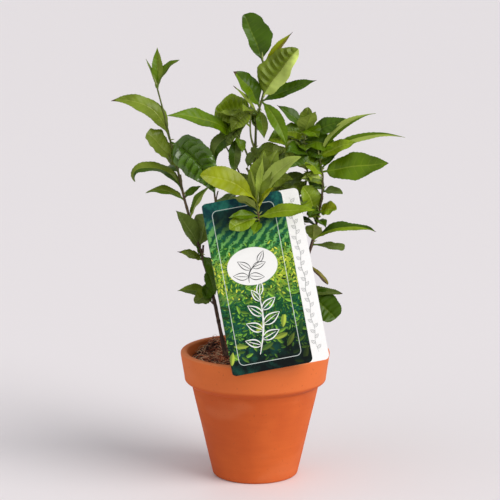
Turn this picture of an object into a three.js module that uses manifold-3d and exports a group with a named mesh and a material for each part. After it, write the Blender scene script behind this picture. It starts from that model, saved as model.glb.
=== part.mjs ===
// A young tea bush in a clay pot, with the folded card that it is sold with.
// Millimetres, +Z up. The origin is the centre of the pot's flat underside, +X is the plant's right
// as seen from its front, and the front looks towards -Y.

import * as THREE from "three";
import { mergeVertices } from "three/addons/utils/BufferGeometryUtils.js";
import Module from "manifold-3d";

const wasm = await Module();
wasm.setup();

// ---- Driving dimensions -------------------------------------------------------------------

const CLEARANCE = 0.35; // between any two pieces that touch on the real plant

const pot = {
  height: 110,
  rimRadius: 65, // outside, at the lip
  collarHeight: 25, // the thick band below the lip
  collarDraft: 3.3, // the band narrows by this much downwards
  shoulder: 6, // height over which the band turns in to the body
  bodyTopRadius: 55,
  baseRadius: 37.5,
  baseRounding: 2.5,
  lipRounding: 2.5,
  wall: 7,
  floor: 8,
  heel: 3, // bevel inside, between the floor and the wall
  sides: 30,
};

const soil = {
  edgeHeight: 98, // above the underside of the pot
  crownHeight: 102.5, // the middle stands a little higher than the edge
  bump: 0.7,
  rings: 2,
  sides: 18,
};

const card = {
  width: 81,
  printedWidth: 67, // the front leaf is narrower and leaves a strip of the back leaf in view
  height: 145,
  thickness: 0.8,
  fold: 3.4, // from the front of the front leaf to the back of the back leaf
  corner: 4,
  roll: 10.5, // degrees, its top leans to the left
  lean: 14, // degrees, its top leans back on the bough
  footX: 21.5, // middle of the lower edge
  footZ: 110.5,
  restHeight: 110, // level at which it leans on the lip
  slotWidth: 10, // the slot that the front bough comes through
  slotHeight: 12,
};

// Each limb: radius at its foot, radius at its tip, and the few points that its curve passes.
// The stems are cut flat just under the top of the soil, which they stand in.
const limbs = {
  left_stem: {
    foot: 2.0, tip: 0.7,
    route: [[-24, -2, 98], [-30, 1, 125], [-36, 3, 155], [-44, 5, 186], [-53, 6, 212],
      [-60, 6, 237], [-65, 6, 260], [-73, 8, 292], [-79, 8, 319], [-84, 8, 338]],
  },
  middle_stem: {
    foot: 1.9, tip: 0.8,
    route: [[-11, 14, 98], [-19, 14, 135], [-27, 10, 187], [-34, 6, 235], [-36, 1, 260]],
  },
  centre_stem: {
    foot: 2.5, tip: 0.8,
    route: [[-3, 4, 98], [-4, 8, 125], [-3, 10, 160], [-1, 8, 205], [-1, 6, 236], [0, 4, 268],
      [0, 4, 300], [2, 4, 318], [7, 4, 330], [6, 4, 360]],
  },
  right_stem: {
    foot: 2.1, tip: 0.8,
    route: [[8, -8, 98], [23, -2, 136], [40, 4, 175], [49, 4, 204], [54, 2, 228], [58, 2, 250],
      [57, 2, 266], [54, 2, 280]],
  },
  inner_stem: {
    foot: 1.9, tip: 0.7,
    route: [[13, 12, 98], [28, 12, 150], [38, 13, 208], [40, 12, 235], [45, 10, 258], [43, 8, 274],
      [41, 6, 305]],
  },
  back_stem: {
    foot: 2.0, tip: 0.8,
    route: [[3, 24, 98], [0, 36, 140], [4, 46, 185], [8, 50, 222]],
  },
  front_bough: {
    foot: 1.3, tip: 0.8,
    route: [[-2, 8, 187], [1, -20, 206], [4, -37, 222], [2, -46, 236], [2, -50, 248]],
  },
  left_bough: {
    foot: 1.1, tip: 0.7,
    route: [[-1, 5, 262], [-10, 8, 286], [-17, 4, 297]],
  },
  centre_shoot: {
    foot: 1.0, tip: 0.7,
    route: [[0, 4, 282], [-4, 1, 296], [-4, 0, 318]],
  },
};

// Boughs leave the centre stem, so their feet are cut back to its bark.
const boughs = ["front_bough", "left_bough", "centre_shoot"];

// Each mass: its limb, and its leading leaves as
// [height on the limb, heading, rise, length, width, droop, roll], in mm and degrees.
// A heading of 0 points right, 90 to the back, 180 left and 270 to the front. The rise is the
// leaf's angle above the level at its foot, the droop is how far it bends down along its length,
// and the roll turns its upper face to its own right. `rear` leaves follow a rule, below.
const masses = {
  left_tip_leaves: { limb: "left_stem", rear: 0, leaves: [
    [335, 90, 85, 34, 10, 0, 0],
    [335, 350, 78, 30, 9, 62, 50],
    [335, 160, 66, 22, 5, 5, 60],
  ] },
  left_shoulder_leaves: { limb: "left_stem", rear: 1, leaves: [
    [292, 190, 82, 64, 18, 96, -55],
    [274, 200, 60, 37, 24, 30, -45],
    [290, 332, -10, 64, 29, 65, 50],
  ] },
  left_arch_leaves: { limb: "left_stem", rear: 1, leaves: [
    [248, 190, 78, 52, 13, 125, -35],
    [240, 182, 42, 35, 9, 66, -30],
    [226, 345, 72, 31, 9, 30, 50],
  ] },
  left_pair_leaves: { limb: "left_stem", rear: 1, leaves: [
    [200, 205, 72, 38, 10, 20, -50],
    [203, 20, 75, 36, 22, 40, 70],
    [188, 200, 30, 22, 9, 20, -40],
    [192, 310, -35, 29, 10, 30, 40],
  ] },
  left_low_leaves: { limb: "left_stem", rear: 1, leaves: [
    [161, 200, 22, 28, 11, 40, -40],
    [160, 225, -20, 18, 11, 40, -50],
  ] },
  top_leaves: { limb: "centre_stem", rear: 1, leaves: [
    [359, 175, 74, 43, 24, 10, -85],
    [332, 350, 60, 50, 30, 16, 60],
    [354, 10, 58, 38, 9, 30, 60],
    [326, 190, 58, 34, 20, 30, -70],
    [327, 352, 24, 47, 13, 10, 60],
  ] },
  right_tip_leaves: { limb: "right_stem", rear: 1, leaves: [
    [277, 352, 74, 62, 8, 74, 60],
    [275, 350, 40, 78, 10, 58, 50],
    [263, 342, 12, 60, 23, 6, 60],
  ] },
  front_shoot_leaves: { limb: "front_bough", rear: 0, leaves: [
    [246, 195, 44, 54, 22, 46, -65],
    [231, 205, 2, 29, 15, 34, -55],
    [234, 212, 0, 27, 9, 20, -40],
    [233, 350, 14, 45, 11, 16, 50],
    [236, 352, 82, 63, 11, 62, 70],
    [247, 90, 85, 34, 9, 0, 0],
  ] },
  left_branch_leaves: { limb: "left_bough", rear: 1, leaves: [
    [296, 186, 34, 67, 19, 44, -50],
    [296, 262, -35, 34, 9, 40, -10],
    [296, 215, -30, 36, 9, 40, -50],
  ] },
  centre_leaves: { limb: "centre_shoot", rear: 1, leaves: [
    [316, 205, 18, 36, 20, 50, -60],
    [314, 240, -5, 36, 20, 40, -40],
    [316, 315, 0, 48, 13, 90, 50],
  ] },
  right_crown_leaves: { limb: "inner_stem", rear: 1, leaves: [
    [296, 352, 38, 36, 13, 32, 55],
    [303, 40, 76, 17, 12, 0, 40],
    [303, 190, 45, 28, 12, 30, -60],
    [300, 300, 20, 28, 18, 40, 20],
    [290, 240, 20, 28, 18, 40, -20],
  ] },
  inner_fan_leaves: { limb: "inner_stem", rear: 1, leaves: [
    [262, 195, -10, 32, 14, 30, -40],
    [256, 215, -20, 28, 14, 30, -50],
    [266, 250, 30, 24, 14, 30, 0],
  ] },
  middle_fan_leaves: { limb: "centre_stem", rear: 1, leaves: [
    [262, 340, 50, 36, 20, 20, 50],
    [258, 160, 40, 30, 14, 30, -40],
  ] },
  right_side_leaves: { limb: "right_stem", rear: 1, leaves: [
    [224, 205, 78, 32, 20, 20, -80],
    [226, 330, 55, 20, 14, 20, 50],
    [248, 335, 15, 17, 8, 40, 30],
  ] },
  right_wing_leaves: { limb: "right_stem", rear: 1, leaves: [
    [206, 345, 42, 58, 11, 62, 40],
    [200, 345, 12, 31, 9, 26, 30],
  ] },
  right_low_leaves: { limb: "right_stem", rear: 1, leaves: [
    [178, 320, -22, 24, 6, 20, 30],
    [161, 340, 16, 42, 9, 32, 40],
    [162, 325, -5, 52, 25, 50, 50],
  ] },
  back_left_leaves: { limb: "middle_stem", rear: 2, leaves: [
    [150, 70, 35, 50, 20, 50, 0],
    [225, 110, 45, 40, 16, 40, 0],
  ] },
  back_crown_leaves: { limb: "back_stem", rear: 2, leaves: [
    [215, 60, 30, 48, 20, 50, 0],
    [180, 130, 20, 52, 22, 50, 0],
  ] },
  back_low_leaves: { limb: "back_stem", rear: 2, leaves: [
    [135, 120, 25, 55, 22, 60, 0],
    [160, 50, 25, 52, 22, 60, 0],
  ] },
};

const rearRule = {
  heading: 90, // the leaves behind a limb fan out round this heading
  fan: 34, // to either side of it
  rise: 38,
  droop: 45,
  share: 0.85, // of the mean length of the mass's leading leaves, at least `shortest`
  shortest: 32,
  slimness: 0.38, // width over length
};

const leafSolid = {
  stations: 3, // and one more for a leaf that bends down by more than `bend`
  bend: 35,
  thickness: 0.3, // of the leaf's width
  thinnest: 2.4,
  stalk: 1.1, // radius where the leaf leaves its limb
  point: 0.35, // radius of its blunt tip
};

const core = {
  radius: 4.6, // of the knot of stalks and buds round the limb
  reach: 3, // beyond the lowest and highest leaf foot
  sides: 5,
  steps: 2,
};

const limbSides = 6;
const limbSteps = 10;

const materials = {
  clay: new THREE.MeshStandardMaterial({ color: 0xc4643a, roughness: 0.85, metalness: 0 }),
  soil: new THREE.MeshStandardMaterial({ color: 0x3a2419, roughness: 1, metalness: 0 }),
  card: new THREE.MeshStandardMaterial({ color: 0x2f6b45, roughness: 0.35, metalness: 0 }),
  bark: new THREE.MeshStandardMaterial({ color: 0x4a3324, roughness: 0.9, metalness: 0 }),
  shoot: new THREE.MeshStandardMaterial({ color: 0x7d8a3c, roughness: 0.6, metalness: 0 }),
  leaf: new THREE.MeshStandardMaterial({ color: 0x4f7423, roughness: 0.4, metalness: 0 }),
};

// ---- Solids -------------------------------------------------------------------------------

const radians = THREE.MathUtils.degToRad;
const mix = THREE.MathUtils.lerp;

function toSolid(geometry) {
  const bare = geometry.clone();
  bare.deleteAttribute("normal");
  bare.deleteAttribute("uv");
  const merged = mergeVertices(bare, 1e-4);
  const vertProperties = new Float32Array(merged.attributes.position.array);
  const triVerts = new Uint32Array(merged.index.array);
  return new wasm.Manifold(new wasm.Mesh({ numProp: 3, vertProperties, triVerts }));
}

function toGeometry(solid) {
  const mesh = solid.getMesh();
  const geometry = new THREE.BufferGeometry();
  geometry.setAttribute("position", new THREE.BufferAttribute(new Float32Array(mesh.vertProperties), 3));
  geometry.setIndex(new THREE.BufferAttribute(new Uint32Array(mesh.triVerts), 1));
  return geometry;
}

function largestPiece(solid) {
  return solid.decompose().reduce((a, b) => (b.volume() > a.volume() ? b : a));
}

// A straight closed cylinder whose rings are carried to the stations of a path. `frame(t)` gives
// the ring's centre and its two half-axes, side and up.
function sweep(sides, steps, frame) {
  const geometry = new THREE.CylinderGeometry(1, 1, 1, sides, steps);
  geometry.rotateX(Math.PI / 2);
  const position = geometry.attributes.position;
  const at = new THREE.Vector3();
  for (let i = 0; i < position.count; i += 1) {
    at.fromBufferAttribute(position, i);
    const { centre, side, up } = frame(at.z + 0.5);
    const placed = centre.clone().addScaledVector(side, at.x).addScaledVector(up, at.y);
    position.setXYZ(i, placed.x, placed.y, placed.z);
  }
  return toSolid(geometry);
}

// ---- Limbs --------------------------------------------------------------------------------

const curves = Object.fromEntries(
  Object.entries(limbs).map(([name, limb]) => {
    const points = limb.route.map((p) => new THREE.Vector3(...p));
    return [name, new THREE.CatmullRomCurve3(points, false, "centripetal")];
  }),
);

function limbRadius(limb, t) {
  const flare = 0.35 * limb.foot * Math.max(0, 1 - t / 0.06);
  return mix(limb.foot, limb.tip, t) + flare;
}

// A ring of the limb at t, square to its run, with its side axis kept level.
function limbFrame(name, t, radius) {
  const centre = curves[name].getPointAt(t);
  const run = curves[name].getTangentAt(t);
  const side = new THREE.Vector3(0, 1, 0).cross(run).normalize();
  const up = run.clone().cross(side);
  return { centre, side: side.multiplyScalar(radius), up: up.multiplyScalar(radius) };
}

function makeLimb(name, extra = 0) {
  const limb = limbs[name];
  return sweep(limbSides, limbSteps, (t) => {
    const ring = limbFrame(name, t, limbRadius(limb, t) + extra);
    const overrun = t === 0 ? -extra : t === 1 ? extra : 0;
    ring.centre.addScaledVector(curves[name].getTangentAt(t), overrun);
    return ring;
  });
}

function share(name, height) {
  let low = 0;
  let high = 1;
  for (let i = 0; i < 24; i += 1) {
    const middle = (low + high) / 2;
    if (curves[name].getPointAt(middle).z < height) low = middle;
    else high = middle;
  }
  return low;
}

// ---- Leaves -------------------------------------------------------------------------------

// The run of a leaf's midrib: an arc that starts at `rise` and bends down by `droop`.
function midrib(foot, heading, rise, length, droop, t) {
  const level = new THREE.Vector3(Math.cos(radians(heading)), Math.sin(radians(heading)), 0);
  const parts = 12;
  const at = foot.clone();
  for (let i = 0; i < parts; i += 1) {
    const angle = radians(rise - droop * t * ((i + 0.5) / parts));
    at.addScaledVector(level, (Math.cos(angle) * length * t) / parts);
    at.z += (Math.sin(angle) * length * t) / parts;
  }
  const end = radians(rise - droop * t);
  const run = level.clone().multiplyScalar(Math.cos(end));
  run.z = Math.sin(end);
  return { at, run };
}

function leafHalfWidth(width, t) {
  return (width / 2) * Math.sin(Math.PI * Math.min(1, t ** 0.85)) ** 0.85;
}

function makeLeaf(limbName, [height, heading, rise, length, width, droop, roll], extra = 0) {
  const foot = curves[limbName].getPointAt(share(limbName, height));
  const across = new THREE.Vector3(-Math.sin(radians(heading)), Math.cos(radians(heading)), 0);
  const thickness = Math.max(leafSolid.thinnest, leafSolid.thickness * width);
  const stations = leafSolid.stations + Math.floor(Math.min(droop, 2 * leafSolid.bend) / leafSolid.bend);
  return sweep(4, stations, (t) => {
    const { at, run } = midrib(foot, heading, rise, length, droop, t);
    const face = run.clone().cross(across);
    const side = across.clone().multiplyScalar(Math.cos(radians(roll)));
    side.addScaledVector(face, Math.sin(radians(roll)));
    const up = run.clone().cross(side);
    const least = mix(leafSolid.stalk, leafSolid.point, t);
    const halfWidth = Math.max(least, t < 1 ? leafHalfWidth(width, t) : 0) + extra;
    const halfThickness = Math.max(least, (halfWidth / width) * thickness) + extra;
    at.addScaledVector(run, t === 0 ? -extra : t === 1 ? extra : 0);
    return { centre: at, side: side.multiplyScalar(halfWidth), up: up.multiplyScalar(halfThickness) };
  });
}

function rearLeaves(mass) {
  const heights = mass.leaves.map((leaf) => leaf[0]);
  const lengths = mass.leaves.map((leaf) => leaf[3]);
  const mean = lengths.reduce((a, b) => a + b, 0) / lengths.length;
  const length = Math.max(rearRule.shortest, rearRule.share * mean);
  const rows = [];
  for (let i = 0; i < mass.rear; i += 1) {
    const level = (i + 0.5) / mass.rear;
    const height = mix(Math.min(...heights), Math.max(...heights), level);
    const heading = rearRule.heading + rearRule.fan * (i % 2 ? 1 : -1) * (mass.rear > 1 ? 1 : 0.3);
    const width = rearRule.slimness * length;
    rows.push([height, heading, rearRule.rise, length, width, rearRule.droop, 0]);
  }
  return rows;
}

function makeCore(mass, rows, extra = 0) {
  const heights = rows.map((row) => row[0]);
  const bottom = share(mass.limb, Math.min(...heights) - core.reach);
  const top = share(mass.limb, Math.max(...heights) + core.reach);
  return sweep(core.sides, core.steps, (t) => {
    const swell = 0.7 + 0.3 * Math.sin(Math.PI * t);
    const ring = limbFrame(mass.limb, mix(bottom, top, t), core.radius * swell + extra);
    const overrun = t === 0 ? -extra : t === 1 ? extra + core.reach / 2 : 0;
    ring.centre.addScaledVector(curves[mass.limb].getTangentAt(mix(bottom, top, t)), overrun);
    return ring;
  });
}

function makeMass(mass, extra = 0) {
  const rows = [...mass.leaves, ...rearLeaves(mass)];
  const leaves = rows.map((row) => makeLeaf(mass.limb, row, extra));
  return leaves.reduce((whole, leaf) => whole.add(leaf), makeCore(mass, rows, extra));
}

// ---- Pot and soil -------------------------------------------------------------------------

function arc(cx, cz, radius, from, to, steps) {
  const points = [];
  for (let i = 0; i <= steps; i += 1) {
    const angle = radians(mix(from, to, i / steps));
    points.push(new THREE.Vector2(cx + radius * Math.cos(angle), cz + radius * Math.sin(angle)));
  }
  return points;
}

function potInnerRadius(z) {
  const t = (z - pot.floor) / (pot.height - pot.floor);
  return mix(pot.baseRadius - pot.wall + 2, pot.rimRadius - pot.wall, t);
}

function makePot() {
  const collarFoot = pot.height - pot.collarHeight;
  const collarFootRadius = pot.rimRadius - pot.collarDraft;
  const lipHeight = pot.height - pot.lipRounding;
  const innerLip = pot.rimRadius - pot.wall + pot.lipRounding;
  const profile = [
    new THREE.Vector2(0, 0),
    ...arc(pot.baseRadius - pot.baseRounding, pot.baseRounding, pot.baseRounding, -90, -15, 2),
    new THREE.Vector2(pot.bodyTopRadius, collarFoot - pot.shoulder),
    new THREE.Vector2(mix(pot.bodyTopRadius, collarFootRadius, 0.5), collarFoot - 0.75 * pot.shoulder),
    new THREE.Vector2(collarFootRadius, collarFoot),
    ...arc(pot.rimRadius - pot.lipRounding, lipHeight, pot.lipRounding, 0, 90, 3),
    ...arc(innerLip, lipHeight, pot.lipRounding, 90, 180, 3),
    new THREE.Vector2(potInnerRadius(pot.floor + pot.heel), pot.floor + pot.heel),
    new THREE.Vector2(potInnerRadius(pot.floor) - pot.heel, pot.floor),
    new THREE.Vector2(0, pot.floor),
  ];
  return toSolid(lathe(profile, pot.sides));
}

function lathe(profile, sides) {
  const geometry = new THREE.LatheGeometry(profile, sides);
  geometry.rotateX(Math.PI / 2);
  return geometry;
}

function soilHeight(x, y) {
  const reach = Math.min(1, Math.hypot(x, y) / potInnerRadius(soil.edgeHeight));
  const waves = Math.sin(x * 0.31 + 1) * Math.cos(y * 0.27) + Math.sin((x + y) * 0.17);
  return mix(soil.crownHeight, soil.edgeHeight, reach ** 2) + soil.bump * waves * (1 - reach);
}

function makeSoil() {
  const bottom = pot.floor + CLEARANCE;
  const wallGap = 2 * CLEARANCE;
  const edge = potInnerRadius(soil.edgeHeight) - wallGap;
  const profile = [
    new THREE.Vector2(0, bottom),
    new THREE.Vector2(potInnerRadius(pot.floor) - pot.heel - wallGap, bottom),
    new THREE.Vector2(potInnerRadius(pot.floor + pot.heel) - wallGap, pot.floor + pot.heel),
  ];
  for (let i = 0; i <= soil.rings; i += 1) {
    const radius = edge * (1 - i / soil.rings);
    profile.push(new THREE.Vector2(radius, soil.edgeHeight + 1 - radius / edge));
  }
  const geometry = lathe(profile, soil.sides);
  const position = geometry.attributes.position;
  for (let i = 0; i < position.count; i += 1) {
    const [x, y, z] = [position.getX(i), position.getY(i), position.getZ(i)];
    if (z > soil.edgeHeight - 0.5) position.setZ(i, soilHeight(x, y));
  }
  return toSolid(geometry);
}

// ---- Card ---------------------------------------------------------------------------------

function roundedPlate(x0, x1, y0, y1, radius, depth) {
  const shape = new THREE.Shape();
  shape.moveTo(x0 + radius, y0);
  shape.lineTo(x1 - radius, y0);
  shape.absarc(x1 - radius, y0 + radius, radius, -Math.PI / 2, 0, false);
  shape.lineTo(x1, y1 - radius);
  shape.absarc(x1 - radius, y1 - radius, radius, 0, Math.PI / 2, false);
  shape.lineTo(x0 + radius, y1);
  shape.absarc(x0 + radius, y1 - radius, radius, Math.PI / 2, Math.PI, false);
  shape.lineTo(x0, y0 + radius);
  shape.absarc(x0 + radius, y0 + radius, radius, Math.PI, 1.5 * Math.PI, false);
  return new THREE.ExtrudeGeometry(shape, { depth, bevelEnabled: false, curveSegments: 2 });
}

// The card's own frame: x across, y up the card, z out of its printed face. Its back leaf rests
// against the lip of the pot.
function cardMatrix() {
  const lean = radians(card.lean);
  const foot = new THREE.Vector3(
    card.footX,
    -pot.rimRadius - card.fold - CLEARANCE + (card.footZ - card.restHeight) * Math.tan(lean),
    card.footZ,
  );
  const turn = new THREE.Matrix4().makeRotationX(Math.PI / 2 - lean);
  turn.multiply(new THREE.Matrix4().makeRotationZ(radians(card.roll)));
  return turn.setPosition(foot);
}

function cardBox(width, height, depth, x, z) {
  const box = new THREE.BoxGeometry(width, height, depth);
  box.translate(x, card.height / 2, z);
  return toSolid(box);
}

// The folded sheet: a front leaf and a wider back leaf, joined at the fold on the left.
function makeCard() {
  const half = card.width / 2;
  const tall = 1.2 * card.height;
  const frontDepth = 1.5 * card.thickness;
  const front = roundedPlate(
    -half, card.printedWidth - half, 0, card.height, card.corner, frontDepth,
  );
  front.translate(0, 0, card.fold - frontDepth);
  const backDepth = card.fold - frontDepth;
  const back = cardBox(1.1 * card.width, tall, backDepth, 0, backDepth / 2);
  const air = cardBox(card.width, tall, card.fold - 2 * card.thickness, 1.5 * card.thickness, card.fold / 2);
  const stripWidth = card.width - card.printedWidth;
  const aboveStrip = cardBox(stripWidth, tall, card.fold, half - stripWidth / 2, card.fold - card.thickness);
  return toSolid(roundedPlate(-half, half, 0, card.height, card.corner, card.fold))
    .intersect(toSolid(front).add(back))
    .subtract(air)
    .subtract(aboveStrip);
}

// The slot is cut where the bough meets the card's plane.
function cutSlot(plate, place) {
  const inverse = place.clone().invert();
  const curve = curves.front_bough;
  let t = 0;
  let meeting = curve.getPointAt(t).applyMatrix4(inverse);
  while (meeting.z < card.fold / 2) {
    t += 0.01;
    meeting = curve.getPointAt(t).applyMatrix4(inverse);
  }
  const slot = new THREE.CylinderGeometry(0.5, 0.5, card.fold * 4, 8);
  slot.rotateX(Math.PI / 2);
  slot.scale(card.slotWidth, card.slotHeight, 1);
  slot.translate(meeting.x, meeting.y, 0);
  return plate.subtract(toSolid(slot));
}

function placed(solid, matrix) {
  const geometry = toGeometry(solid);
  geometry.applyMatrix4(matrix);
  return toSolid(geometry);
}

// ---- Assembly -----------------------------------------------------------------------------

const bush = new THREE.Group();

function addPiece(name, solid, material) {
  const mesh = new THREE.Mesh(toGeometry(solid), material);
  mesh.name = name;
  bush.add(mesh);
}

const limbNames = Object.keys(limbs);
const widened = Object.fromEntries(limbNames.map((name) => [name, makeLimb(name, CLEARANCE)]));
const allLimbs = limbNames.map((name) => widened[name]).reduce((a, b) => a.add(b));

addPiece("pot", makePot(), materials.clay);
addPiece("soil", largestPiece(makeSoil().subtract(allLimbs)), materials.soil);

for (const name of limbNames) {
  const isBough = boughs.includes(name);
  const whole = makeLimb(name);
  const solid = isBough ? largestPiece(whole.subtract(widened.centre_stem)) : whole;
  addPiece(name, solid, isBough ? materials.shoot : materials.bark);
}

const place = cardMatrix();
const hangCard = placed(cutSlot(makeCard(), place), place);
addPiece("hang_card", hangCard, materials.card);

const cardRoom = roundedPlate(
  -card.width / 2 - CLEARANCE, card.width / 2 + CLEARANCE,
  -CLEARANCE, card.height + CLEARANCE, card.corner, card.fold + 2 * CLEARANCE,
);
cardRoom.translate(0, 0, -CLEARANCE);
cardRoom.applyMatrix4(place);

let taken = allLimbs.add(toSolid(cardRoom));
for (const [name, mass] of Object.entries(masses)) {
  addPiece(name, largestPiece(makeMass(mass).subtract(taken)), materials.leaf);
  taken = taken.add(makeMass(mass, CLEARANCE));
}

export default bush;
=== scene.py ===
# %% [markdown]
# # A young tea bush in a clay pot
# The bush was first built as plain solids: a pot, its soil, a folded card, stems, boughs and masses of
# leaves, all at their real size. This lesson loads those solids and dresses them. The pot, the soil, the
# stems, every leaf and the card are modelled again in fine detail, just where the solids stand, so that
# weight and collision stay true while the eye sees the real thing.

import math

import bmesh
import bpy
import numpy as np
from mathutils import Matrix, Vector, noise


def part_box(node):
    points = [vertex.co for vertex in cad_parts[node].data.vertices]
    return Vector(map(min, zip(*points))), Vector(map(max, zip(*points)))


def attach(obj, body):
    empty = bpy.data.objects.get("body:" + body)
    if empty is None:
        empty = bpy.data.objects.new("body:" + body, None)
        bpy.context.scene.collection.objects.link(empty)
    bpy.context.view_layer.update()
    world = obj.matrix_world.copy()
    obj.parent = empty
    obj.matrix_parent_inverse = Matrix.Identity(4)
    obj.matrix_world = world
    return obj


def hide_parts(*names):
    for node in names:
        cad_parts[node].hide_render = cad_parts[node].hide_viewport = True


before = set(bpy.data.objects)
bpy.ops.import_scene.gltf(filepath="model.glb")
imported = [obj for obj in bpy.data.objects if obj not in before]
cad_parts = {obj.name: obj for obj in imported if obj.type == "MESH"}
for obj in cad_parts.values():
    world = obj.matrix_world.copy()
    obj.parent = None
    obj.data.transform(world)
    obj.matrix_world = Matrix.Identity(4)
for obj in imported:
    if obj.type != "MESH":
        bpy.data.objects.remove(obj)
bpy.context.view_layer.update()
MM = 0.001  # every size below is in millimetres times this

# %% [markdown]
# Operators act on whatever is selected, so each piece starts from an empty selection. These few helpers
# do what the mouse does in the window: pick a piece, go into edit mode, and pick faces by their place.


# %% Hands
def clear_selection():
    if bpy.context.object and bpy.context.object.mode != "OBJECT":
        bpy.ops.object.mode_set(mode="OBJECT")
    bpy.ops.object.select_all(action="DESELECT")


def take(piece):
    """Selects one piece, alone, and makes it the active one."""
    clear_selection()
    piece.select_set(True)
    bpy.context.view_layer.objects.active = piece


def start_edit(piece):
    take(piece)
    bpy.ops.object.mode_set(mode="EDIT")


def end_edit():
    bpy.ops.object.mode_set(mode="OBJECT")


def pick(kind, test):
    """In edit mode: selects just the verts, edges or faces that pass the test."""
    bpy.ops.mesh.select_mode(type={"verts": "VERT", "edges": "EDGE", "faces": "FACE"}[kind])
    bpy.ops.mesh.select_all(action="DESELECT")
    cage = bmesh.from_edit_mesh(bpy.context.object.data)
    for element in getattr(cage, kind):
        if test(element):
            element.select_set(True)
    bmesh.update_edit_mesh(bpy.context.object.data)


def place_here(piece):
    """Puts the piece's place, turn and size into its mesh, and leaves the object at the origin."""
    take(piece)
    bpy.ops.object.transform_apply(location=True, rotation=True, scale=True)


HANDS = (clear_selection, take, start_edit, end_edit, pick, place_here)
print("hands:", ", ".join(hand.__name__ for hand in HANDS))

# %% [markdown]
# Points are read and written as arrays. A finished piece is handed over: it rides on the plant's one body
# and says which solids it stands in for.


# %% Points and pieces
def read_points(mesh):
    points = np.empty(len(mesh.vertices) * 3)
    mesh.vertices.foreach_get("co", points)
    return points.reshape(-1, 3)


def write_points(mesh, points):
    mesh.vertices.foreach_set("co", np.asarray(points, float).ravel())
    mesh.update()


def hand_over(piece, slot, *nodes):
    """Makes the piece part of the plant's one body, in place of the named solids."""
    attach(piece, "root")
    if nodes:
        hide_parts(*nodes)
    piece.data.calc_loop_triangles()
    print(f"{piece.name}: {len(piece.data.loop_triangles)} triangles")


print("points of the pot's solid:", len(read_points(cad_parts["pot"].data)))

# %% [markdown]
# Colours are written as the eye reads them, from 0 to 255, and turned into the linear numbers that light
# works with.


# %% Paint box
def paint(red, green, blue):
    def linear(c):
        c /= 255
        return c / 12.92 if c <= 0.04045 else ((c + 0.055) / 1.055) ** 2.4

    return (linear(red), linear(green), linear(blue), 1.0)


print("a middle grey gives back", round(paint(128, 128, 128)[0], 3), "of the light")

# %% [markdown]
# A finish is a small network of nodes round one shader. What is the same all over a surface is set on the
# shader itself, and only what changes from place to place comes through a link.


# %% A finish
class Finish:
    """A material in the making: its nodes, and short ways to add one and to link two."""

    def __init__(self, name, colour, roughness, **sockets):
        self.material = bpy.data.materials.new(name)
        self.material.use_nodes = True
        self.nodes = self.material.node_tree.nodes
        self.shader = self.nodes["Principled BSDF"]
        self.shader.inputs["Base Color"].default_value = colour
        self.shader.inputs["Roughness"].default_value = roughness
        for socket, value in sockets.items():
            self.shader.inputs[socket.replace("_", " ")].default_value = value
        self.material.diffuse_color = colour

    def add(self, kind, settings=(), **sockets):
        node = self.nodes.new("ShaderNode" + kind)
        for key, value in dict(settings).items():
            setattr(node, key, value)
        for socket, value in sockets.items():
            self.feed(value, node, socket)
        return node

    def feed(self, value, node, socket):
        """Sets an input, or links it where the value is another node's output."""
        is_number = socket[0] == "i" and socket[1:].isdigit()
        into = node.inputs[int(socket[1:]) if is_number else socket]
        if isinstance(value, bpy.types.NodeSocket):
            self.material.node_tree.links.new(value, into)
        else:
            into.default_value = value

    def object_place(self, stretch=(1, 1, 1)):
        """The place on the object, in metres, stretched along its axes."""
        mapping = self.add("Mapping", i0=self.add("TexCoord").outputs["Object"])
        mapping.inputs["Scale"].default_value = stretch
        return mapping.outputs["Vector"]

    def clouds(self, place, scale, detail=4.0, roughness=0.55):
        node = self.add("TexNoise", Vector=place, Scale=scale, Detail=detail, Roughness=roughness)
        return node.outputs["Fac"]

    def span(self, value, low, high, to_low=0.0, to_high=1.0):
        node = self.add("MapRange", {"interpolation_type": "SMOOTHSTEP"}, i0=value, i1=low, i2=high,
                        i3=to_low, i4=to_high)
        return node.outputs[0]

    def math(self, operation, a, b=0.0):
        return self.add("Math", {"operation": operation}, i0=a, i1=b).outputs[0]

    def mix(self, share, a, b, blend="MIX"):
        node = self.add("Mix", {"data_type": "RGBA", "blend_type": blend})
        self.feed(share, node, "i0")
        self.feed(a, node, "i6")
        self.feed(b, node, "i7")
        return node.outputs[2]

    def colour(self, value):
        self.feed(value, self.shader, "Base Color")

    def gloss(self, value):
        self.feed(value, self.shader, "Roughness")

    def relief(self, height, depth, strength=1.0):
        """Fine relief, too small to model: `depth` is its height in metres."""
        bump = self.add("Bump", Height=height, Strength=strength, Distance=depth)
        self.feed(bump.outputs["Normal"], self.shader, "Normal")


print("a finish can", ", ".join(name for name in vars(Finish) if not name.startswith("_")))

# %% [markdown]
# ## The camera
# It stands 1.4 metres away, a little higher than the plant, and looks down through a long lens, which keeps
# the pot's rim a shallow oval. A short lens from close by would open that oval and swell the nearest
# leaves.

# %% Camera
CAMERA_PLACE = (-0.0046, -1.4, 0.4378)  # metres
LOOK_DOWN = 9.74  # degrees below level
LENS = 119.1
SENSOR_WIDTH = 36

bpy.ops.object.camera_add(location=CAMERA_PLACE, rotation=(math.radians(90 - LOOK_DOWN), 0, 0))
camera = bpy.context.object
camera.data.sensor_width = SENSOR_WIDTH
camera.data.lens = LENS
bpy.context.scene.camera = camera
bpy.context.scene.view_settings.view_transform = "Standard"
print("camera at", CAMERA_PLACE, "looking down by", LOOK_DOWN, "degrees")

# %% [markdown]
# ## The studio
# A pale floor runs out of sight all round, so every view has the same quiet ground. Most of the light is
# the white room itself. A curved backdrop would do for one view, but its edges show from behind.

# %% Floor and room
FLOOR_RADIUS = 60  # metres
ROOM_COLOUR = (0.98, 0.98, 1.0, 1)
ROOM_STRENGTH = 0.50

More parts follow.
